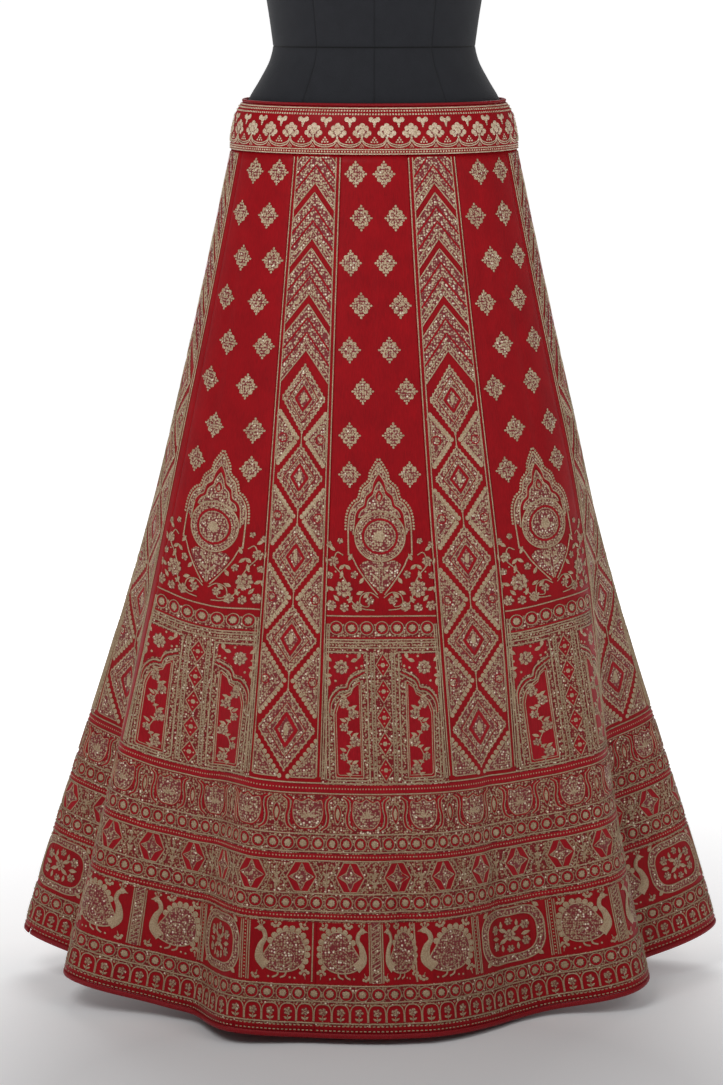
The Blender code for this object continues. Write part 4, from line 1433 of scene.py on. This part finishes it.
def wrapped_look(name, lit, shade, attribute, pitch):
    """Corded edge wrapped in thread: slanting wraps by distance along it, kept as an attribute."""
    look, tree, shader = new_look(name, Roughness=0.5, Specular_IOR_Level=0.25)
    along = add_node(tree, "ShaderNodeAttribute", attribute_name=attribute).outputs["Fac"]
    wave = maths(tree, "SINE", maths(tree, "MULTIPLY", along, 2 * math.pi / pitch))
    share = maths(tree, "MULTIPLY_ADD", wave, 0.5, 0.5)
    place = add_node(tree, "ShaderNodeTexCoord").outputs["Object"]
    tone_and_shade = add_node(tree, "ShaderNodeTexNoise", {"Vector": place, "Scale": 120.0, "Detail": 3.0})
    tone = maths(tree, "MULTIPLY_ADD", share, 0.6, maths(tree, "MULTIPLY", tone_and_shade.outputs["Fac"], 0.5))
    tree.links.new(mixed(tree, tone, colour(shade), colour(lit)), shader.inputs["Base Color"])
    raised(tree, shader, share, 0.0004, 0.8)
    return look


def jersey_look(name, tone):
    """Knitted cotton: a fine grain by stretched noise, soft lint, and dark seams by the piece's own attribute."""
    sheen = {"Sheen_Weight": 0.1, "Sheen_Roughness": 0.5}
    look, tree, shader = new_look(name, Roughness=0.85, Specular_IOR_Level=0.25, **sheen)
    place = add_node(tree, "ShaderNodeTexCoord").outputs["Object"]
    fine = add_node(tree, "ShaderNodeMapping", {"Vector": place, "Scale": (1500.0, 1500.0, 700.0)})
    knit = add_node(tree, "ShaderNodeTexNoise", {"Vector": fine.outputs[0], "Scale": 1.0, "Detail": 2.0})
    lint = add_node(tree, "ShaderNodeTexNoise", {"Vector": place, "Scale": 60.0, "Detail": 4.0})
    share = maths(tree, "MULTIPLY_ADD", lint.outputs["Fac"], 0.5, maths(tree, "MULTIPLY", knit.outputs["Fac"], 0.5))
    pale, dark = (tuple(channel * more + 0.004 * (more > 1) for channel in tone[:3]) for more in (2.1, 0.1))
    knitted = mixed(tree, share, colour(tone), colour(pale))
    seam = add_node(tree, "ShaderNodeAttribute", attribute_name="seam").outputs["Fac"]
    tree.links.new(mixed(tree, seam, knitted, colour(dark)), shader.inputs["Base Color"])
    raised(tree, shader, knit.outputs["Fac"], 0.0003, 0.6)
    return look


def metal_look(name, tone, metallic, roughness):
    """Metal with faint brushing and worn patches."""
    look, tree, shader = new_look(name, Metallic=metallic)
    place = add_node(tree, "ShaderNodeTexCoord").outputs["Object"]
    brush = add_node(tree, "ShaderNodeMapping", {"Vector": place, "Scale": (400.0, 400.0, 40.0)})
    grain = add_node(tree, "ShaderNodeTexNoise", {"Vector": brush.outputs[0], "Scale": 1.0, "Detail": 4.0})
    tone_and_shade = add_node(tree, "ShaderNodeTexNoise", {"Vector": place, "Scale": 22.0, "Detail": 3.0})
    rough = maths(tree, "MULTIPLY_ADD", tone_and_shade.outputs["Fac"], 0.25, roughness - 0.12)
    tree.links.new(rough, shader.inputs["Roughness"])
    pale = tuple(channel * 1.6 + 0.01 for channel in tone[:3])
    tree.links.new(mixed(tree, tone_and_shade.outputs["Fac"], colour(tone), colour(pale)), shader.inputs["Base Color"])
    raised(tree, shader, grain.outputs["Fac"], 0.0001, 0.5)
    return look


# What a user may change


def colour_property(name, value, told):
    return bpy.props.FloatVectorProperty(
        name=name, description=told, subtype="COLOR", size=3, min=0.0, max=1.0, default=value
    )


class LehengaColours(bpy.types.PropertyGroup):
    silk: colour_property("Silk", (0.36, 0.0015, 0.006), "Crimson silk in the light")
    silk_shade: colour_property("Silk shade", (0.21, 0.0006, 0.004), "Crimson silk between its slubs")
    inlay: colour_property("Inlay", (0.40, 0.006, 0.014), "Red thread laid among the gold")
    zari: colour_property("Zari", (0.70, 0.575, 0.385), "Gold thread in the light")
    zari_shade: colour_property("Zari shade", (0.32, 0.20, 0.11), "Gold thread between its stitches")
    band_zari: colour_property("Waistband zari", (0.86, 0.72, 0.53), "Brighter gold thread of the waistband")
    band_shade: colour_property("Waistband zari shade", (0.42, 0.28, 0.17), "That thread between its stitches")
    fill_pale: colour_property("Fill, pale", (0.62, 0.505, 0.33), "Paler stitches of the filled ground")
    fill_tan: colour_property("Fill, tan", (0.33, 0.215, 0.11), "Darker stitches of the filled ground")
    fill_ground: colour_property("Fill, ground", (0.19, 0.010, 0.014), "Silk that shows between the fill's stitches")
    piping: colour_property("Piping", (0.27, 0.002, 0.007), "Corded edges")
    jersey: colour_property("Jersey", (0.008, 0.0085, 0.011), "Cover of the dress form")


class LehengaSizes(bpy.types.PropertyGroup):
    cloth: bpy.props.FloatProperty(
        name="Cloth", description="Thickness of a kali with its backing", unit="LENGTH", min=0.0005, default=CLOTH
    )
    crease: bpy.props.FloatProperty(
        name="Creases", description="Depth of the pressed creases, as a share of the worn depth", min=0.0, default=1.0
    )
    thread: bpy.props.FloatProperty(
        name="Thread", description="How far thread stands off the cloth, as a share of its own", min=0.1, default=1.0
    )


class LehengaStudio(bpy.types.PropertyGroup):
    camera_height: bpy.props.FloatProperty(
        name="Camera height", description="Height of the camera above the floor", unit="LENGTH", default=1.20
    )
    camera_away: bpy.props.FloatProperty(
        name="Camera distance", description="Distance of the camera in front", unit="LENGTH", default=4.0
    )
    lens: bpy.props.FloatProperty(name="Lens", description="Focal length in millimetres", default=114.07)
    key: bpy.props.FloatProperty(name="Key light", description="Power of the large soft light, in watts", default=32.0)
    fill: bpy.props.FloatProperty(name="Fill light", description="Power of the second soft light", default=12.0)
    surround: bpy.props.FloatProperty(name="Surround", description="Strength of the even light", default=0.20)


MADE = {}


def the_skirt():
    """The finished cloth's tables, worked out once for a depth of crease."""
    crease = bpy.context.scene.lehenga_sizes.crease
    if crease not in MADE:
        MADE[crease] = Skirt(crease)
    return MADE[crease]


def nodes_named(*names):
    """Those CAD nodes, or an error that says which is missing."""
    missing = [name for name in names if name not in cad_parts]
    if missing:
        raise RuntimeError(f"the frame has no node named {', '.join(missing)}")
    return [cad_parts[name] for name in names]


class LehengaPart(bpy.types.Operator):
    """What the skirt's operators share."""

    bl_options = {"REGISTER", "UNDO"}

    def execute(self, context):
        self.make(context.scene.lehenga_colours, context.scene.lehenga_sizes)
        return {"FINISHED"}


class LEHENGA_OT_cloth(LehengaPart):
    """The fourteen kalis as walls of silk, laid down the folds, with their creases and the dip at each seam"""

    bl_idname = "lehenga.cloth"
    bl_label = "Kalis"

    def make(self, colours, sizes):
        skirt = the_skirt()
        wide = worked_silk("crimson_silk_worked", colours, WIDE_ZONES)
        narrow = worked_silk("zari_silk_worked", colours, NARROW_ZONES)
        for number, (name, cut, *_) in enumerate(KALIS):
            nodes_named(name)
            outer, normals = skirt.points[number], skirt.normals[number]
            made = closed_wall(outer, outer - normals * sizes.cloth)
            down = np.broadcast_to(np.linspace(0, 1, ROWS + 1)[:, None], outer.shape[:2])
            attributes = (
                ("down", np.concatenate([down, down])),
                ("outer", np.concatenate([down * 0 + 1, down * 0])),
            )
            look, slot = (wide, "crimson_silk") if cut == "A" else (narrow, "zari_worked_silk")
            piece = new_piece(name.replace("kali", "cloth"), made, look, attributes)
            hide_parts(name)


class LEHENGA_OT_zari(LehengaPart):
    """Gold, red and filled thread of the kalis and of the borders round the hem, one piece of each on each kali"""

    bl_idname = "lehenga.zari"
    bl_label = "Zari"

    def make(self, colours, sizes):
        skirt = the_skirt()
        looks = (
            ("gold", "zari", thread_look("zari_gold", colours.zari, colours.zari_shade), "zari_worked_silk"),
            ("red", "inlay", plain_silk("inlay_red", SimpleColours(colours.inlay, colours.silk_shade)), "crimson_silk"),
            ("fill", "fill", fill_look("zari_fill", colours), "zari_worked_silk"),
        )
        drawn = {"A": draw_wide(), "B": draw_narrow()}
        for number, (name, cut, *_) in enumerate(KALIS):
            short = name.replace("kali_", "")
            border = border_on(number)
            panel = Work().add(drawn[cut], squeeze=-1.0) if name in MIRRORED else drawn[cut]
            for layer, kind, look, slot in looks:
                parts = [skirt.on_kali(number, scaled(join(panel.layers[layer]), sizes.thread))]
                parts.append(skirt.round_hem(scaled(join(border.layers[layer]), sizes.thread)))
                new_piece(f"{kind}_{short}", join(parts), look)


class SimpleColours:
    """The two colours that plain silk reads."""

    def __init__(self, silk, silk_shade):
        self.silk, self.silk_shade = silk, silk_shade


def scaled(made, rise):
    """A shape with its lifts made higher or lower."""
    points, faces = made
    return points * (1, 1, rise), faces


def border_on(number):
    """Every border on one kali: the repeats and figures whose middles are on it, and its stretch of the lines."""
    skirt = the_skirt()
    whole = skirt.around[-1] / MM
    start, end = (skirt.around[number : number + 2] - skirt.front) / MM
    work = Work()

    def repeat(drawing, pitch, down, phase=0.0):
        pitch = whole / round(whole / pitch)
        spots = [phase + pitch * i for i in range(math.ceil((start - phase) / pitch), math.ceil((end - phase) / pitch))]
        for x in spots:
            work.add(drawing, (x, -down))

    repeat(draw_lotus(), LOTUS_PITCH, LOTUS_DOWN, LOTUS_FROM)
    repeat(draw_hexagon(), HEXAGON_PITCH, HEXAGON_DOWN, HEXAGON_FROM)
    for down in SPOTS_DOWN:
        repeat(draw_spot(), SPOT_PITCH, down)
    repeat(draw_little_arch(), ARCHES_PITCH, ARCHES_DOWN)
    steps = np.arange(start, end + 5.9, 6.0).clip(start, end)
    lines = [ribbon(np.column_stack([steps, steps * 0 - down]), LINE_HALF) for down in LINES_DOWN]
    lines += [beads([(start + 1.5, -down), (end - 1.5, -down)], 1.0, 3.9) for down in DOTTED_DOWN]
    lines += [dashes([(start + 1, -down), (end - 1, -down)], 4.6, half=0.65) for down in DASHED_DOWN]
    columns = int((end - start) / 7)
    strips = [box_ground(start, end, -top, -bottom, INLAY_LIFT, 1, columns) for top, bottom in RED_DOWN]
    work.add(Work(gold=lines, red=strips))
    figures = {
        "bird": draw_bird(),
        "pillar": draw_pillar(),
        "parting": draw_parting(),
        "line": draw_line(),
        "cartouche": draw_cartouche(),
    }
    for kind, aside, share in hem_figures():
        middle = (aside - start) % whole
        if middle < end - start:
            work.add(figures[kind], (start + middle, -FIGURES_DOWN), squeeze=share)
    return work


class LEHENGA_OT_waistband(LehengaPart):
    """The waistband in two lengths, its thread work, and the corded edge along its top"""

    bl_idname = "lehenga.waistband"
    bl_label = "Waistband"

    def make(self, colours, sizes):
        cloth_look = worked_silk("waistband_silk", colours, ((0.0, 0.0), (2.0, 0.0)))
        gold_look = thread_look("waistband_gold", colours.band_zari, colours.band_shade, metallic=0.1)
        piping_look = wrapped_look("piping_wrapped", colours.piping, colours.silk_shade, "along", 0.0016)
        layers = draw_waistband().layers
        work_looks = (("gold", "zari", gold_look), ("fill", "fill", fill_look("waistband_fill", colours)))
        front_ends = [band_at(degrees) for degrees in BAND_SIDES[0][1:]]
        for side, start, end in BAND_SIDES:
            nodes_named(f"waistband_{side}", f"band_piping_{side}")
            ends = np.radians([start, end]) + np.array([1, -1]) * SEAM_GAP / TOP_HALF_DEPTH
            angle, share = np.meshgrid(np.linspace(*ends, 141), np.linspace(1, 0, 15))
            made = closed_wall(band_face(angle, share, 0.0), band_face(angle, share, -BAND_THICK))
            flags = np.concatenate([share, share * 0])
            attributes = (("down", np.concatenate([share, share])), ("outer", flags))
            cloth = new_piece(f"waistband_cloth_{side}", made, cloth_look, attributes)
            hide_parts(f"waistband_{side}")
            for layer, kind, look in work_looks:
                points, faces = scaled(join(layers[layer]), sizes.thread)
                kept = (points[:, 0] * MM > front_ends[0]) & (points[:, 0] * MM < front_ends[1])
                kept = kept if side == "front" else ~kept
                part = on_band((points, faces[kept[faces[:, 0]]]))
                new_piece(f"waistband_{kind}_{side}", part, look)
            centre = band_face(angle[0], share[0], -BAND_THICK / 2)
            centre[:, 2] += SEAM_GAP + PIPING_RADIUS
            along = np.concatenate([[0.0], np.cumsum(np.linalg.norm(np.diff(centre, axis=0), axis=1))])
            out = unit(np.cross(np.gradient(centre, axis=0), (0, 0, 1)))
            up = np.broadcast_to((0, 0, PIPING_RADIUS), centre.shape)
            cord = outward(tube(centre, out * PIPING_RADIUS, up))
            wraps = np.repeat(along, 14) + np.tile(np.arange(14) * 0.00006, len(along))
            attributes = (("along", np.append(wraps, [0.0, along[-1]])),)
            piping = new_piece(f"waistband_cord_{side}", cord, piping_look, attributes)
            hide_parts(f"band_piping_{side}")


def band_at(degrees):
    angles, along = band_round()
    return float(np.interp(math.radians(degrees), angles, along))


class LEHENGA_OT_binding(LehengaPart):
    """The folded binding along the hem, in two lengths that meet at the side seams"""

    bl_idname = "lehenga.binding"
    bl_label = "Hem binding"

    def make(self, colours, sizes):
        skirt = the_skirt()
        look = wrapped_look("binding_wrapped", colours.piping, colours.silk_shade, "along", 0.0026)
        for side in ("front", "back"):
            nodes_named(f"hem_binding_{side}")
            group = [number for number in range(len(KALIS)) if FRONT_SIDE[number] == (side == "front")]
            points = np.concatenate([skirt.points[number][-1, 1:-1] for number in group])
            above = np.concatenate([skirt.points[number][-2, 1:-1] for number in group])
            normals = np.concatenate([skirt.normals[number][-1, 1:-1] for number in group])
            down = unit(points - above)
            centre = points - normals * CLOTH / 2 + down * (SEAM_GAP + BINDING_HEIGHT / 2)
            along = np.concatenate([[0.0], np.cumsum(np.linalg.norm(np.diff(centre, axis=0), axis=1))])
            made = outward(tube(centre, normals * BINDING_THICK / 2, down * BINDING_HEIGHT / 2))
            wraps = np.repeat(along, 14) + np.tile(np.arange(14) * 0.0001, len(along))
            attributes = (("along", np.append(wraps, [0.0, along[-1]])),)
            piece = new_piece(f"binding_{side}", made, look, attributes)
            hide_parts(f"hem_binding_{side}")


class LEHENGA_OT_form(LehengaPart):
    """The dress form: a jersey cover with its sewn seams, and metal for the cap, pole, base and closure"""

    bl_idname = "lehenga.form"
    bl_label = "Dress form"

    def make(self, colours, sizes):
        nodes_named("form_torso")
        heights, wide, deep, forward = np.array(TORSO).T
        close = np.linspace(-1.5, 1.5, 7)
        by_waist = WAIST_SEAM + WAIST_SEAM_WIDE * close
        rows = np.concatenate([np.linspace(heights[0], heights[-1], 150), heights, by_waist])
        rows = np.unique(np.round(rows, 4))
        shape = [rounded(rows, heights, values) for values in (wide, deep, forward)]
        by_seams = (np.array(TORSO_SEAMS)[:, None] + TORSO_SEAM_DEGREES * close).ravel() % 360
        degrees = np.unique(np.round(np.append(np.arange(0, 360, 2.25), by_seams), 2))
        turns = np.radians(degrees)
        upright = np.zeros(len(turns))
        for seam in TORSO_SEAMS:
            aside = np.abs((degrees - seam + 180) % 360 - 180)
            upright = np.maximum(upright, np.exp(-((aside / TORSO_SEAM_DEGREES) ** 2)))
        level = np.exp(-(((rows - WAIST_SEAM) / WAIST_SEAM_WIDE) ** 2))
        inward = 0.0006 * np.maximum(upright[None, :], level[:, None])
        x = (shape[0][:, None] - inward) * np.sin(turns)
        y = -(shape[1][:, None] - inward) * np.cos(turns) - shape[2][:, None]
        rings = np.stack([x, y, np.broadcast_to(rows[:, None], x.shape)], axis=-1)
        shaded = np.maximum(UPRIGHT_SEAM_SHADE * upright[None, :], level[:, None])
        attributes = (("seam", np.append(shaded, [0.0, 0.0])),)
        jersey = jersey_look("jersey", colours.jersey)
        torso = new_piece("torso_cover", outward(rings_surface(rings)), jersey, attributes)
        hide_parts("form_torso")
        steel = metal_look("form_steel", (0.012, 0.012, 0.013), 0.6, 0.38)
        brass = metal_look("hook_brass", (0.42, 0.28, 0.10), 1.0, 0.35)
        looks = (
            (steel, "neck_cap", "form_pole", "form_base"),
            (brass, "hook_1", "hook_2", "eye_1", "eye_2"),
        )
        for look, *names in looks:
            for node in nodes_named(*names):
                node.data.materials.clear()
                node.data.materials.append(look)


def rounded(at, places, values):
    """Values between rows on a cubic line that keeps each row's own value (monotone slopes)."""
    steps, rises = np.diff(places), np.diff(values)
    slopes = rises / steps
    alike = slopes[1:] * slopes[:-1] > 0
    inner = np.where(alike, 2 * slopes[1:] * slopes[:-1] / np.where(alike, slopes[1:] + slopes[:-1], 1.0), 0.0)
    tangent = np.concatenate([[slopes[0]], inner, [slopes[-1]]])
    low = np.clip(np.searchsorted(places, at, side="right") - 1, 0, len(steps) - 1)
    t, step = (at - places[low]) / steps[low], steps[low]
    start = values[low] * (1 + 2 * t) * (1 - t) ** 2 + tangent[low] * step * t * (1 - t) ** 2
    return start + values[low + 1] * t * t * (3 - 2 * t) + tangent[low + 1] * step * t * t * (t - 1)


class LEHENGA_OT_placket(LehengaPart):
    """The underlap of silk behind the side opening, hidden when the skirt is closed"""

    bl_idname = "lehenga.placket"
    bl_label = "Placket"

    def make(self, colours, sizes):
        nodes_named("placket_underlap")
        skirt = the_skirt()
        rows = slice(0, PLACKET_ROWS)
        last, first = skirt.points[-1][rows, -5:-1], skirt.points[0][rows, 1:5]
        points = np.concatenate([last, first], axis=1)
        normals = np.concatenate([skirt.normals[-1][rows, -5:-1], skirt.normals[0][rows, 1:5]], axis=1)
        outer = points - normals * (CLOTH + 0.0004)
        look = plain_silk("placket_silk", colours)
        piece = new_piece("placket", closed_wall(outer, outer - normals * 0.001), look)
        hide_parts("placket_underlap")


class LEHENGA_OT_stage(LehengaPart):
    """A plain pale floor that runs out of sight and glows as painted light away from the skirt, soft lights, and the
    camera in front
    """

    bl_idname = "lehenga.stage"
    bl_label = "Stage"

    def make(self, colours, sizes):
        studio = bpy.context.scene.lehenga_studio
        bpy.context.scene.view_settings.view_transform = "Standard"
        reach = np.linspace(-FLOOR_REACH, FLOOR_REACH, 5)
        side, back = np.meshgrid(reach, reach)
        points = np.stack([side, back, side * 0 - 0.0002], axis=-1).reshape(-1, 3)
        index = np.arange(side.size).reshape(side.shape)
        quads = np.stack([index[:-1, :-1], index[:-1, 1:], index[1:, 1:], index[1:, :-1]], axis=-1).reshape(-1, 4)
        data = bpy.data.meshes.new("studio_floor")
        data.from_pydata(points.tolist(), [], quads.tolist())
        look, tree, shader = new_look("studio_paper", Roughness=0.9, Emission_Color=(1.0, 1.0, 1.0, 1.0))
        place_at = add_node(tree, "ShaderNodeTexCoord").outputs["Object"]
        grain = add_node(tree, "ShaderNodeTexNoise", {"Vector": place_at, "Scale": 3.0, "Detail": 2.0})
        moved = add_node(tree, "ShaderNodeVectorMath", {0: place_at, 1: SHADOW_MIDDLE}, operation="DISTANCE")
        # painted light: the floor glows more the further it is from the skirt, and not at all in its shadow
        away = maths(tree, "MULTIPLY", moved.outputs["Value"], 0.25)
        tree.links.new(ramp(tree, away, PAPER_GLOW), shader.inputs["Emission Strength"])
        pale, paler = (0.80, 0.80, 0.81, 1.0), (0.84, 0.84, 0.845, 1.0)
        paper_tone = mixed(tree, grain.outputs["Fac"], pale, paler)
        paper_tone = mixed(tree, ramp(tree, away, PAPER_TONE), PAPER_FRONT, paper_tone)
        tree.links.new(paper_tone, shader.inputs["Base Color"])
        data.materials.append(look)
        paper = bpy.data.objects.new("studio_floor", data)
        bpy.context.scene.collection.objects.link(paper)
        world = bpy.data.worlds.new("studio_light")
        world.use_nodes = True
        world.node_tree.nodes["Background"].inputs["Color"].default_value = (1.0, 1.0, 1.0, 1.0)
        world.node_tree.nodes["Background"].inputs["Strength"].default_value = studio.surround
        bpy.context.scene.world = world
        lights = (
            ("key_light", (-1.1, -1.9, 2.7), 1.4, studio.key),
            ("fill_light", (1.8, -1.9, 2.3), 1.4, studio.fill),
            ("back_light", (0.0, 2.6, 3.2), 2.4, studio.fill * 5),
        )
        for name, at, size, power in lights:
            lamp = bpy.data.lights.new(name, "AREA")
            lamp.shape, lamp.size, lamp.energy = "SQUARE", size, power
            holder = bpy.data.objects.new(name, lamp)
            holder.location = at
            away = np.array(at) - (0, 0, 0.6)
            holder.rotation_euler = (
                math.atan2(math.hypot(away[0], away[1]), away[2]),
                0.0,
                math.atan2(away[0], -away[1]),
            )
            bpy.context.scene.collection.objects.link(holder)
        lens = bpy.data.cameras.new("front_camera")
        lens.sensor_fit, lens.sensor_height, lens.lens = "VERTICAL", 36.0, studio.lens
        lens.clip_end = 400.0
        camera = bpy.data.objects.new("front_camera", lens)
        camera.location = (-0.0145, -studio.camera_away, studio.camera_height)
        camera.rotation_euler = (math.radians(80.5186), 0.0, 0.0)
        bpy.context.scene.collection.objects.link(camera)
        bpy.context.scene.camera = camera


class LEHENGA_PT_panel(bpy.types.Panel):
    """Sizes, colours and the operators that build each part"""

    bl_label = "Lehenga skirt"
    bl_idname = "LEHENGA_PT_panel"
    bl_space_type = "VIEW_3D"
    bl_region_type = "UI"
    bl_category = "Lehenga"

    def draw(self, context):
        for group in (context.scene.lehenga_sizes, context.scene.lehenga_colours, context.scene.lehenga_studio):
            box = self.layout.box()
            for name in group.__annotations__:
                box.prop(group, name)
        for operator in OPERATORS:
            self.layout.operator(operator.bl_idname)


OPERATORS = (
    LEHENGA_OT_cloth,
    LEHENGA_OT_zari,
    LEHENGA_OT_waistband,
    LEHENGA_OT_binding,
    LEHENGA_OT_placket,
    LEHENGA_OT_form,
    LEHENGA_OT_stage,
)
CLASSES = (LehengaColours, LehengaSizes, LehengaStudio, *OPERATORS, LEHENGA_PT_panel)


def register():
    for each in CLASSES:
        bpy.utils.register_class(each)
    bpy.types.Scene.lehenga_colours = bpy.props.PointerProperty(type=LehengaColours)
    bpy.types.Scene.lehenga_sizes = bpy.props.PointerProperty(type=LehengaSizes)
    bpy.types.Scene.lehenga_studio = bpy.props.PointerProperty(type=LehengaStudio)


def unregister():
    del bpy.types.Scene.lehenga_studio
    del bpy.types.Scene.lehenga_sizes
    del bpy.types.Scene.lehenga_colours
    for each in reversed(CLASSES):
        bpy.utils.unregister_class(each)


def main():
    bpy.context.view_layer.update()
    register()
    for operator in OPERATORS:
        group, action = operator.bl_idname.split(".")
        getattr(getattr(bpy.ops, group), action)()


if __name__ == "__main__":
    main()
